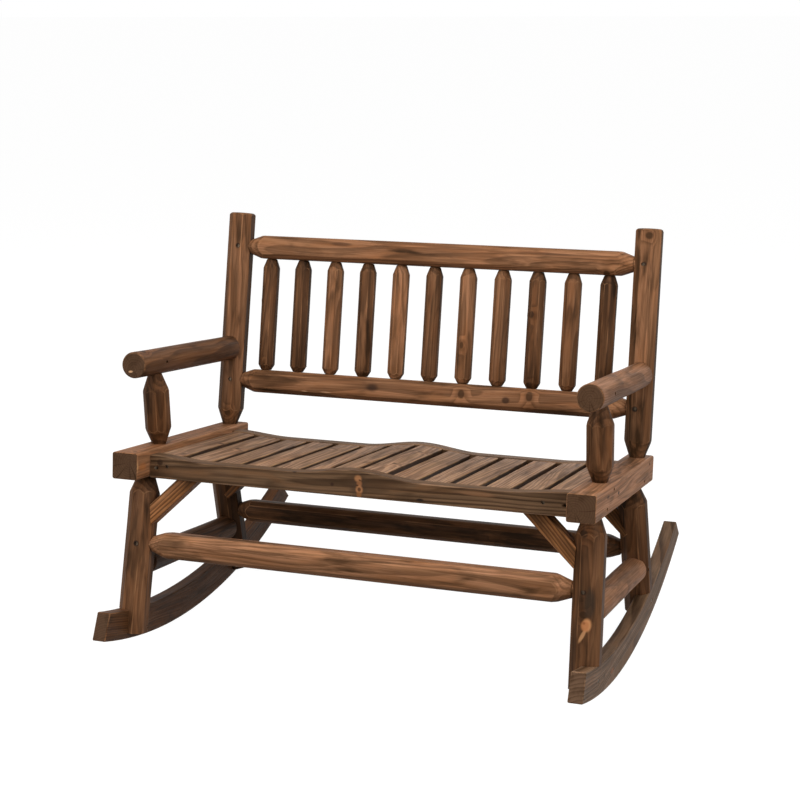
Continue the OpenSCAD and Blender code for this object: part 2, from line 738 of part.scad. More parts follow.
module arm_support(side) {
    round_d = corner_d(support_d);
    run = taper_run(round_d, small_tip_d, taper_slope);
    point = [past_tip(small_tip_d, past), run + past];
    top = (arm_h - arm_d / 2) / cos(support_lean);
    color(WOOD) at_rest() on_side(side_sign(side)) difference() {
        union() {
            difference() {
                intersection() {
                    support_frame() intersection() {
                        translate([0, 0, -past]) turned(top + 2 * past, round_d, point, point);
                        translate([0, 0, -past]) eight_sided(top + 2 * past, support_d);
                    }
                    above_beam();
                }
                arm_log(arm_d + 2 * cope_gap);
                translate([0, 0, arm_h]) above_beam();
            }
            support_frame() translate([0, 0, -beam_tenon]) cylinder(h = beam_tenon + arm_tenon_top, d = small_tenon_d);
        }
        at_arm_pin(side_sign(side)) screw_hole(frame_spec);
        at_beam_pins() screw_hole(frame_spec);
    }
}

// ---- legs and rockers ----
module leg(row, side) {
    y = row == "front" ? front_leg_y : rear_leg_y;
    lean = row == "front" ? front_leg_lean : -rear_leg_lean;
    run = taper_run(leg_d, tip_d, taper_slope);
    color(WOOD) at_rest() on_side(side_sign(side)) difference() {
        union() {
            intersection() {
                leg_frame(y, lean) translate([0, 0, -rocker_drop])
                    peeled(rocker_drop + past, leg_d, [leg_d, eps], [past_tip(tip_d, past), run + past]);
                below_beam();
                foot_room();
            }
            leg_frame(y, lean) translate([0, 0, -beam_tenon]) cylinder(h = 2 * beam_tenon, d = tenon_d);
        }
        at_beam_pins() screw_hole(frame_spec);
        stretcher_mortises(row);
        butt_housing([front_leg_at(-side_stretcher_drop)[0], side_ends[0] - cope_gap, -side_stretcher_drop],
            side_ends[1], side_stretcher_d);
        at_leg_pins(row) screw_hole(frame_spec);
        if (row == "rear") at_side_pin() screw_hole(frame_spec);
        at_brace_screws(row) screw_hole(frame_spec);
        at_rocker_bolt(row) screw_hole(rocker_bolt_spec);
        at_rocker_nail(row) screw_hole(nail_spec);
    }
}

// Where a leg may be: inside the lap above the rocker's lower edge, outside it above the upper edge
module foot_room() {
    translate([0, rocker_c[0], rocker_c[1]]) along_x() cylinder(h = lap_x, r = rocker_r - foot_lift, $fn = 256);
    translate([lap_x - eps, rocker_top_c[0], rocker_top_c[1]]) along_x()
        cylinder(h = frame_w, r = rocker_top_r - cope_gap, $fn = 256);
}

module stretcher_mortises(row) {
    p = row == "front" ? front_leg_at(-stretcher_drop) : rear_leg_at(-stretcher_drop);
    translate([p[0] - leg_d, p[1], p[2]]) along_x() mortise(tenon_d, (leg_d + peel) / 2 + log_tenon + mortise_spare);
    s = row == "front" ? front_leg_at(-side_stretcher_drop) : rear_leg_at(-side_stretcher_drop);
    inward = row == "front" ? 1 : -1;
    translate([s[0], s[1] + inward * leg_d, s[2]]) rotate([inward * 90, 0, 0])
        mortise(small_tenon_d, leg_d + side_tenon_past + mortise_spare);
}

// A rocker's side view, y across and z up
module rocker_outline(inset) {
    front = [-rocker_front, rocker_low(-rocker_front)];
    rear = [rocker_rear, rocker_low(rocker_rear)];
    up_front = [sin(rocker_front_cut), cos(rocker_front_cut)];
    up_rear = [-sin(rocker_rear_cut), cos(rocker_rear_cut)];
    intersection() {
        difference() {
            translate(rocker_c) circle(rocker_r - inset, $fn = 256);
            translate(rocker_top_c) circle(rocker_top_r + inset, $fn = 256);
        }
        polygon([front + rocker_drop * up_front, front - rocker_depth * up_front, [rocker_c[0], -2 * rocker_drop],
                 rear - rocker_depth * up_rear, rear + rocker_drop * up_rear]);
    }
}

module rocker(side) {
    color(WOOD) at_rest() on_side(side_sign(side)) difference() {
        translate([lap_x, 0, 0]) rotate([90, 0, 90]) {
            translate([0, 0, rocker_bevel]) linear_extrude(rocker_t - 2 * rocker_bevel) rocker_outline(0);
            linear_extrude(rocker_t) rocker_outline(rocker_bevel);
        }
        for (row = ["front", "rear"]) {
            at_rocker_bolt(row) screw_hole(rocker_bolt_spec);
            at_rocker_nail(row) screw_hole(nail_spec);
        }
    }
}

// ---- stretchers and braces ----
module stretcher(row) {
    p = row == "front" ? front_leg_at(-stretcher_drop) : rear_leg_at(-stretcher_drop);
    across = row == "front" ? front_stretcher_d : rear_stretcher_d;
    color(WOOD) at_rest() difference() {
        translate([0, p[1], p[2]]) pointed_rail(2 * p[0] - leg_d, across, stretcher_chamfer);
        for (sign = [-1, 1]) on_side(sign) at_leg_pins(row) screw_hole(frame_spec);
    }
}

module side_stretcher(side) {
    front = front_leg_at(-side_stretcher_drop);
    rear = rear_leg_at(-side_stretcher_drop);
    butt_end = [side_stretcher_d - 2 * butt_chamfer, butt_chamfer];
    color(WOOD) at_rest() on_side(side_sign(side)) difference() {
        union() {
            translate([front[0], side_ends[0], front[2]]) along_y()
                turned(side_ends[1] - side_ends[0], side_stretcher_d, butt_end, butt_end);
            translate([front[0], front[1] - side_tenon_past, front[2]]) along_y()
                cylinder(h = rear[1] - front[1] + 2 * side_tenon_past, d = small_tenon_d);
        }
        at_side_pin() screw_hole(frame_spec);
    }
}

module brace(row, side) {
    len = 2 * (brace_drop - rail_bottom) / sin(brace_angle) + 2 * brace_w;
    leg_y = row == "front" ? front_leg_y : rear_leg_y;
    lean = row == "front" ? front_leg_lean : -rear_leg_lean;
    color(LIGHT_WOOD) at_rest() on_side(side_sign(side)) difference() {
        translate([brace_leg_x(), brace_y(row) + brace_t / 2, -brace_drop]) rotate([90, 0, 0]) linear_extrude(brace_t)
            intersection() {
                rotate(180 - brace_angle) translate([-brace_w, -brace_w / 2]) square([len, brace_w]);
                translate([-len, -2 * brace_drop]) square([len + leg_d / 2, 3 * brace_drop - rail_bottom]);
            }
        leg_frame(leg_y, lean) translate([0, 0, -rocker_drop]) cylinder(h = 2 * rocker_drop, d = leg_d + 2 * cope_gap);
        at_brace_screws(row) screw_hole(frame_spec);
    }
}

// ---- fasteners ----
module tenon_pins() {
    color(STEEL) at_rest() for (sign = [-1, 1]) on_side(sign) {
        at_beam_pins() screw(frame_spec);
        at_post_pins() screw(frame_spec);
        at_leg_pins("front") screw(frame_spec);
        at_leg_pins("rear") screw(frame_spec);
        at_side_pin() screw(frame_spec);
        at_arm_pin(sign) screw(frame_spec);
    }
}

module rail_screws() {
    color(STEEL) at_rest() for (row = ["front", "rear"]) {
        at_cleat_screws(row) screw(frame_spec);
        for (sign = [-1, 1]) on_side(sign) at_toe_screws(row) screw(frame_spec);
    }
}

module brace_screws() {
    color(STEEL) at_rest() for (row = ["front", "rear"], sign = [-1, 1]) on_side(sign) at_brace_screws(row) screw(frame_spec);
}

module slat_screws() {
    color(STEEL) at_rest() for (row = ["front", "rear"], i = [1:slat_count]) at_slat_screw(i, row)
        screw(slat_spec);
}

module armrest_bolts() {
    color(STEEL) at_rest() for (sign = [-1, 1]) on_side(sign) at_arm_bolt() screw(arm_bolt_spec);
}

module rocker_bolts() {
    color(STEEL) at_rest() for (row = ["front", "rear"], sign = [-1, 1]) on_side(sign) at_rocker_bolt(row)
        screw(rocker_bolt_spec);
}

module rocker_nails() {
    color(STEEL) at_rest() for (row = ["front", "rear"], sign = [-1, 1]) on_side(sign) at_rocker_nail(row)
        screw(nail_spec, drive = false);
}

// ---- nodes ----
for (side = SIDES) {
    seat_beam(side);
    back_post(side);
    armrest(side);
    arm_support(side);
    rocker(side);
    side_stretcher(side);
}
for (row = ["front", "rear"]) for (side = SIDES) {
    leg(row, side);
    brace(row, side);
}
for (i = [1:slat_count]) seat_slat(i);
for (i = [1:spindle_count]) back_spindle(i);
for (row = ["front", "rear"]) {
    seat_rail(row);
    slat_cleat(row);
    stretcher(row);
}
back_rail(upper_rail_h);  // upper_back_rail
back_rail(lower_rail_h);  // lower_back_rail
tenon_pins();
rail_screws();
brace_screws();
slat_screws();
armrest_bolts();
rocker_bolts();
rocker_nails();
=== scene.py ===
"""Two-seat rocking bench in log style, modelled piece by piece and finished for its pictures.

The pieces are drawn in millimetres in the seat's own frame: x = 0 is the middle of the bench, y = 0 the
front ends of the seat beams and z = 0 the beam tops. AT_REST leans them back on the rockers and turns
the millimetres into metres.
"""

import json
import logging
import math
import random
from contextlib import contextmanager
from dataclasses import dataclass, field
from enum import Enum
from functools import partial
from typing import Callable, Iterator, Mapping, Sequence

import bmesh
import bpy
from mathutils import Matrix, Vector

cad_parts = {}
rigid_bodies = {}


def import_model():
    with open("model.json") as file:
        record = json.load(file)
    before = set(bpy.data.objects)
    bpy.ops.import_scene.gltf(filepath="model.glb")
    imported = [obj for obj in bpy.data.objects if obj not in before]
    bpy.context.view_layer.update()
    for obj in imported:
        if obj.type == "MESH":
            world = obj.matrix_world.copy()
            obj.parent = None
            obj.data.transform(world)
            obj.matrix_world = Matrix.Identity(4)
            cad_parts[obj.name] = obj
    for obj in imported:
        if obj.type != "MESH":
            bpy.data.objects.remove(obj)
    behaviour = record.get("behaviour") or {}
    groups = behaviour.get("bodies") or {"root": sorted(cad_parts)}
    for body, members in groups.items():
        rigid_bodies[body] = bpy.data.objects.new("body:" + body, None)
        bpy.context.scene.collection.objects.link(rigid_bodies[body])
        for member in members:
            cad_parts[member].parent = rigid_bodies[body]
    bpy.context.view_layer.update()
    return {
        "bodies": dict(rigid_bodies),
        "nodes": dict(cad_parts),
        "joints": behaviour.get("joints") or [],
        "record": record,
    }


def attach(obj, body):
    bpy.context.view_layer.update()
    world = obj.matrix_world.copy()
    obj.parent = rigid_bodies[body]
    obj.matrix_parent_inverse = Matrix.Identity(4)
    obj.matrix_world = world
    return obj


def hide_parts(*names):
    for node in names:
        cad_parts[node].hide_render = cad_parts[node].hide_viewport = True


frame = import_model()

LOG = logging.getLogger("rocking_bench")
MM = 0.001
UP = Vector((0, 0, 1))
Point = Sequence[float]
Piece = bpy.types.Object
# Adds a node to the tree that it was made for; see add_node
NodeMaker = Callable[..., bpy.types.Node]
# The values of one Mark after another
Spots = tuple[tuple[Point | str | float, ...], ...]


def turned(degrees: float, axis: str, size: int = 4) -> Matrix:
    """Turn about an axis by degrees."""
    return Matrix.Rotation(math.radians(degrees), size, axis)


def rise(degrees: float) -> float:
    """Rise of a slope over a run of 1."""
    return math.tan(math.radians(degrees))


class Side(Enum):
    """Side of the bench; the value is its direction along x."""

    LEFT = -1
    RIGHT = 1

    @property
    def label(self) -> str:
        """Word for the side in a piece's name."""
        return self.name.lower()


class Row(Enum):
    """Front or rear of the bench; the value is the direction from the seat's middle."""

    FRONT = -1
    REAR = 1

    @property
    def label(self) -> str:
        """Word for the row in a piece's name."""
        return self.name.lower()


# ---- sizes that several sub-assemblies share ----

@dataclass(frozen=True)
class Plan:
    """The bench's shared sizes, in millimetres and degrees."""

    frame_w: float = 1170
    rest_tilt: float = 8.6
    beam_w: float = 66
    beam_h: float = 64
    beam_l: float = 632
    rail_t: float = 42
    front_rail_y: float = 62
    rear_rail_y: float = 528
    rail_bottom: float = 66
    cleat_t: float = 22
    slat_count: int = 14
    post_y: float = 585
    post_d: float = 68
    post_h: float = 562
    post_lean_in: float = 0.5
    recline: float = 4.7
    upper_rail_h: float = 474
    lower_rail_h: float = 120
    back_rail_d: float = 61
    arm_d: float = 63
    arm_h: float = 204.5
    arm_front: float = 38
    support_y: float = 175.5
    support_lean: float = 9.3
    leg_d: float = 72
    leg_splay: float = 1.5
    stretcher_drop: float = 233
    side_stretcher_drop: float = 284
    side_stretcher_d: float = 64
    brace_w: float = 43
    brace_t: float = 38
    brace_angle: float = 43.5
    brace_drop: float = 154
    rocker_t: float = 34
    lap_out: float = 6
    rocker_r: float = 1575
    rocker_top_r: float = 1668
    rocker_drop: float = 473
    rocker_depth: float = 73
    rocker_y: float = 240
    rocker_top_shift: float = 18
    tenon_d: float = 35
    tip_d: float = 38
    small_tenon_d: float = 30
    beam_tenon: float = 29
    log_tenon: float = 38
    tenon_fit: float = 0.3
    mortise_spare: float = 1
    cope_gap: float = 0.3
    taper_slope: float = 20
    # Where a leg's middle line meets the beam, and its forward lean
    front_leg: tuple[float, float] = (112, 6.5)
    rear_leg: tuple[float, float] = (535, -21.5)
    # Planed off a log's diameter to give it flats
    peel: float = 3.2
    # Depth that the square ends of armrests and side stretchers are let in
    butt_depth: float = 4
    screw_sink: float = 6

    @property
    def log_x(self) -> float:
        """Middle line of a beam, post and arm."""
        return self.frame_w / 2 - self.beam_w / 2

    @property
    def inner_x(self) -> float:
        """Inner face of a beam."""
        return self.frame_w / 2 - self.beam_w

    @property
    def slat_pitch(self) -> float:
        """Distance between the middle lines of two slats."""
        return 2 * self.inner_x / self.slat_count

    @property
    def lap_x(self) -> float:
        """Inner face of a rocker."""
        return self.log_x + self.lap_out

    @property
    def rocker_centre(self) -> tuple[float, float]:
        """Centre of a rocker's lower edge, as y and z."""
        return self.rocker_y, self.rocker_r - self.rocker_drop

    @property
    def rocker_top_centre(self) -> tuple[float, float]:
        """Centre of a rocker's upper edge, as y and z."""
        return (self.rocker_y - self.rocker_top_shift,
                self.rocker_top_r - self.rocker_drop + self.rocker_depth)

    def leg_top(self, row: Row) -> tuple[float, float]:
        """Where a leg's middle line meets the beam, and its forward lean."""
        return self.front_leg if row is Row.FRONT else self.rear_leg

    def leg_at(self, row: Row, side: Side, z: float) -> Vector:
        """Find a leg's middle line at a height.

        Args:
            row: Front or rear leg.
            side: Side of the bench.
            z: Height in the seat's frame.

        Returns:
            The point on the middle line.
        """
        y, lean = self.leg_top(row)
        up = z + self.beam_h
        forward = rise(lean) / math.cos(math.radians(self.leg_splay))
        return Vector((side.value * (self.log_x - rise(self.leg_splay) * up), y + forward * up, z))

    def leg_frame(self, row: Row, side: Side) -> Matrix:
        """Frame of a leg, with z up its middle line and the origin under the beam.

        Args:
            row: Front or rear.
            side: Left or right.

        Returns:
            The frame.
        """
        y, lean = self.leg_top(row)
        return (Matrix.Translation((side.value * self.log_x, y, -self.beam_h))
                @ turned(-self.leg_splay * side.value, "Y") @ turned(-lean, "X"))

    def back_frame(self, x: float = 0, z: float = 0) -> Matrix:
        """Frame of the back at a distance across and up, with z up the posts and y square out of the back."""
        foot = Matrix.Translation((0, self.post_y, 0))
        return foot @ turned(-self.recline, "X") @ Matrix.Translation((x, 0, z))

    def post_in(self, height: float) -> float:
        """Inward shift of a post's middle line at a height."""
        return height * rise(self.post_lean_in)

    def post_frame(self, side: Side) -> Matrix:
        """Frame of a back post, leaned in from the back's."""
        return self.back_frame(side.value * self.log_x) @ turned(-self.post_lean_in * side.value, "Y")

    @property
    def arm_end(self) -> float:
        """Where an armrest's square rear end lies, let into the post."""
        half = (self.post_d - self.peel) / 2 / math.cos(math.radians(self.recline))
        return self.post_y + rise(self.recline) * self.arm_h - half + self.butt_depth

    def side_end(self, row: Row) -> float:
        """Where a side stretcher's square end lies, let into a leg.

        Args:
            row: Front or rear.

        Returns:
            Its place along Y.
        """
        half = (self.leg_d - self.peel) / 2 / math.cos(math.radians(self.leg_top(row)[1]))
        middle = self.leg_at(row, Side.RIGHT, -self.side_stretcher_drop).y
        return middle - row.value * (half - self.butt_depth)

    def support_frame(self, side: Side) -> Matrix:
        """Frame of an arm support, with z up its middle line."""
        foot = Matrix.Translation((side.value * self.log_x, self.support_y, 0))
        return foot @ turned(self.support_lean, "X")

    def rocker_edge(self, y: float, upper: bool) -> float:
        """Height of a rocker's upper or lower edge.

        Args:
            y: Distance behind the beams' front ends.
            upper: True for the upper edge.

        Returns:
            The edge's z in the seat's frame.
        """
        centre, radius = ((self.rocker_top_centre, self.rocker_top_r) if upper
                          else (self.rocker_centre, self.rocker_r))
        return centre[1] - math.sqrt(radius ** 2 - (y - centre[0]) ** 2)

    def rocker_mid(self, y: float) -> float:
        """Height halfway between a rocker's edges."""
        return (self.rocker_edge(y, False) + self.rocker_edge(y, True)) / 2

    def lap_y(self, row: Row) -> float:
        """Distance behind the beams' front ends at which a leg crosses its rocker."""
        rise = self.rocker_depth * (0.5 if row is Row.FRONT else 1.2)
        return self.leg_at(row, Side.RIGHT, rise - self.rocker_drop).y

    def brace_y(self, row: Row) -> float:
        """Middle of a corner brace, front to back."""
        return self.leg_at(row, Side.RIGHT, -self.brace_drop).y - (0 if row is Row.FRONT else 4)

    def brace_leg_x(self) -> float:
        """Where a brace's middle line meets the leg's side."""
        return self.leg_at(Row.FRONT, Side.RIGHT, -self.brace_drop).x - self.leg_d / 2

    def at_rest(self) -> Matrix:
        """Turn the seat's millimetres into metres on the floor, leaned back on the rockers.

        Returns:
            The matrix.
        """
        tilt = math.radians(self.rest_tilt)
        y, z = self.rocker_centre
        rest = Vector((0, -(y * math.cos(tilt) + z * math.sin(tilt)),
                       self.rocker_r + y * math.sin(tilt) - z * math.cos(tilt)))
        return Matrix.Scale(MM, 4) @ Matrix.Translation(rest) @ Matrix.Rotation(-tilt, 4, "X")


PLAN = Plan()
AT_REST = PLAN.at_rest()


# ---- workshop: each helper works on one piece with Blender's own operators ----

def only(*pieces: Piece) -> None:
    """Select these objects alone and make the first one active."""
    bpy.ops.object.select_all(action="DESELECT")
    for piece in pieces:
        piece.select_set(True)
    bpy.context.view_layer.objects.active = pieces[0]


@contextmanager
def editing(piece: Piece, mode: str = "FACE") -> Iterator[None]:
    """Open a piece in edit mode with nothing selected.

    Args:
        piece: The mesh object.
        mode: VERT, EDGE or FACE.

    Returns:
        A context in which edit operators and select() work on the piece.
    """
    only(piece)
    bpy.ops.object.mode_set(mode="EDIT")
    bpy.ops.mesh.select_mode(type=mode)
    bpy.ops.mesh.select_all(action="DESELECT")
    yield
    bpy.ops.object.mode_set(mode="OBJECT")


def select(kind: str, test: Callable[[Vector, Vector], bool]) -> None:
    """Select parts of the piece that is open in edit mode by their place.

    Args:
        kind: verts, edges or faces.
        test: Takes a part's middle and its direction (a face's or vertex's normal, or an edge's line).
    """
    mesh = bmesh.from_edit_mesh(bpy.context.object.data)
    for part in getattr(mesh, kind):
        if kind == "verts":
            chosen = test(part.co, part.normal)
        elif kind == "edges":
            a, b = part.verts
            chosen = test((a.co + b.co) / 2, (b.co - a.co).normalized())
        else:
            chosen = test(part.calc_center_median(), part.normal)
        part.select_set(chosen)
    mesh.select_flush_mode()
    bmesh.update_edit_mesh(bpy.context.object.data)


def slice_off(point: Point, outward: Point, keep: bool = False) -> None:
    """Cut the open piece along a plane.

    Args:
        point: A point of the plane.
        outward: Its direction; what lies that way comes off and the cut is closed.
        keep: True to add the line of the cut only.
    """
    bpy.ops.mesh.select_all(action="SELECT")
    bpy.ops.mesh.bisect(plane_co=point, plane_no=outward, use_fill=not keep, clear_outer=not keep,
                        threshold=1e-3)
    bpy.ops.mesh.select_all(action="DESELECT")


def extrude(step: Point) -> None:
    """Extrude what is selected by a step."""
    bpy.ops.mesh.extrude_region_move(TRANSFORM_OT_translate={"value": step})


def settle(piece: Piece, matrix: Matrix) -> Piece:
    """Move a piece by a matrix and put that place into its mesh.

    Args:
        piece: The piece.
        matrix: Where it goes.

    Returns:
        The same piece.
    """
    piece.matrix_world = matrix @ piece.matrix_world
    only(piece)
    bpy.ops.object.transform_apply(location=True, rotation=True, scale=True)
    return piece


def round_bar(start: Point, along: Point, radius: float, length: float, sides: int = 48) -> Piece:
    """Add a round bar from a point in a direction.

    Args:
        start: Middle of its first end.
        along: Direction of its length.
        radius: Radius.
        length: Length.
        sides: Number of faces round it.

    Returns:
        The bar, at the origin with its place in its mesh.
    """
    line = Vector(along).normalized()
    bpy.ops.mesh.primitive_cylinder_add(vertices=sides, radius=radius, depth=length, end_fill_type="NGON",
                                        location=Vector(start) + line * length / 2,
                                        rotation=line.to_track_quat("Z", "Y").to_euler())
    return settle(bpy.context.object, Matrix())


def squared_bar(low: Point, high: Point) -> Piece:
    """Add a squared bar between two opposite corners.

    Args:
        low: Its least corner.
        high: Its greatest corner.

    Returns:
        The bar.
    """
    low, high = Vector(low), Vector(high)
    bpy.ops.mesh.primitive_cube_add(size=1, location=(low + high) / 2, scale=high - low)
    return settle(bpy.context.object, Matrix())


def strip(stations: Sequence[tuple[float, float]], low: float, thickness: float) -> Piece:
    """Draw out a strip along +X from one station to the next.

    Args:
        stations: Each station's x and the height of the strip's top there.
        low: Height of its flat underside.
        thickness: Its thickness, from y = 0.

    Returns:
        The strip.
    """
    x, top = stations[0]
    bpy.ops.mesh.primitive_plane_add(size=1, location=(0, 0, 0))
    bar = settle(bpy.context.object, turned(90, "Y"))
    middle = Matrix.Translation((x, thickness / 2, (low + top) / 2))
    settle(bar, middle @ Matrix.Diagonal((1, thickness, top - low, 1)))
    with editing(bar):
        bpy.ops.mesh.select_all(action="SELECT")
        for (x, top), (next_x, next_top) in zip(stations, stations[1:]):
            extrude((next_x - x, 0, 0))
            growth = (next_top - low) / (top - low)
            bpy.ops.transform.resize(value=(1, 1, growth), center_override=(0, 0, low))
        bpy.ops.mesh.select_all(action="SELECT")
        bpy.ops.mesh.normals_make_consistent(inside=False)
    return bar


def apply_modifier(piece: Piece, kind: str, **settings: object) -> None:
    """Add a modifier with its settings and apply it.

    Args:
        piece: The piece.
        kind: The kind of modifier.
        settings: The modifier's settings.
    """
    only(piece)
    modifier = piece.modifiers.new(kind.title(), kind)
    for name, value in settings.items():
        setattr(modifier, name, value)
    bpy.ops.object.modifier_apply(modifier=modifier.name)


def cut_away(piece: Piece, cutters: Sequence[Piece]) -> None:
    """Take the cutters' space out of a piece and delete them.

    Args:
        piece: The piece.
        cutters: Closed solids.
    """
    for cutter in cutters:
        apply_modifier(piece, "BOOLEAN", object=cutter, operation="DIFFERENCE", solver="MANIFOLD")
        bpy.data.objects.remove(cutter)


def join(piece: Piece, other: Piece) -> None:
    """Make a second solid part of a piece."""
    apply_modifier(piece, "BOOLEAN", object=other, operation="UNION", solver="MANIFOLD")
    bpy.data.objects.remove(other)


def ease_edges(piece: Piece, width: float, angle: float = 14, rings: int = 1) -> None:
    """Round a piece's sharp edges; the new faces take the second material, which marks them as rubbed.

    Args:
        piece: The piece.
        width: Width of the rounding.
        angle: Least angle of an edge that is rounded, in degrees.
        rings: Faces across the rounding.
    """
    while len(piece.data.materials) < 2:
        piece.data.materials.append(None)
    apply_modifier(piece, "BEVEL", width=width, segments=rings, limit_method="ANGLE",
                   angle_limit=math.radians(angle), use_clamp_overlap=False, material=1,
                   offset_type="OFFSET", miter_outer="MITER_ARC", harden_normals=False)


def copy_of(piece: Piece) -> Piece:
    """Copy a piece, with its own mesh.

    Args:
        piece: The piece.

    Returns:
        The copy.
    """
    twin = piece.copy()
    twin.data = piece.data.copy()
    bpy.context.collection.objects.link(twin)
    return twin


# ---- joints: what is bored, mortised and coped ----

# How far outside the head a screw hole's cutter starts
HOLE_LEAD = 18


@dataclass(frozen=True)
class Bore:
    """A round hole from a point in a direction, in one or two steps of radius and length."""

    start: Point
    along: Point
    steps: tuple[tuple[float, float], ...]
    sides: int = 24

    def cutter(self) -> Piece:
        """Make the solid that cuts the hole.

        Returns:
            The solid.
        """
        line = Vector(self.along).normalized()
        radius, length = self.steps[0]
        bar = round_bar(self.start, line, radius, length, self.sides)
        end = Vector(self.start) + line * length
        for narrower, further in self.steps[1:]:
            with editing(bar):
                select("faces", lambda middle, normal: normal.dot(line) > 0.99
                       and (middle - end).length < 0.01)
                bpy.ops.mesh.inset(thickness=radius - narrower)
                extrude(line * further)
        return bar

    def soot(self) -> "Mark":
        """Painted shade: a dark ring round the mouth of a screw's hole."""
        mouth = Vector(self.start) + Vector(self.along).normalized() * HOLE_LEAD
        return Mark(mouth, (8.0, 8.0, 8.0), "#150d08", 0.95)

    def mirrored(self, side: Side) -> "Bore":
        """The same hole on a side, when it is given for the right."""
        flip = Vector((side.value, 1, 1))
        return Bore(Vector(self.start) * flip, Vector(self.along) * flip, self.steps, self.sides)


@dataclass(frozen=True)
class Fastener:
    """A screw, bolt or nail; its hole has a counterbore for the head."""

    length: float
    shank: float
    head: float
    head_h: float

    def hole(self, start: Point, along: Point) -> Bore:
        """Hole for one that is driven from a point in a direction.

        Args:
            start: The point.
            along: The direction.

        Returns:
            The hole.
        """
        line = Vector(along).normalized()
        return Bore(Vector(start) - line * HOLE_LEAD, line,
                    ((self.head / 2 + 0.25, HOLE_LEAD + self.head_h),
                     (self.shank / 2 + 0.1, self.length + 1 - self.head_h)))


FRAME_SCREW = Fastener(45, 4.5, 8.6, 2.4)
SLAT_SCREW = Fastener(32, 3.5, 8.6, 2.4)
ARM_BOLT = Fastener(88, 6, 10, 3)
ROCKER_BOLT = Fastener(58, 6, 10, 3)
NAIL = Fastener(44, 2.6, 6, 1.2)


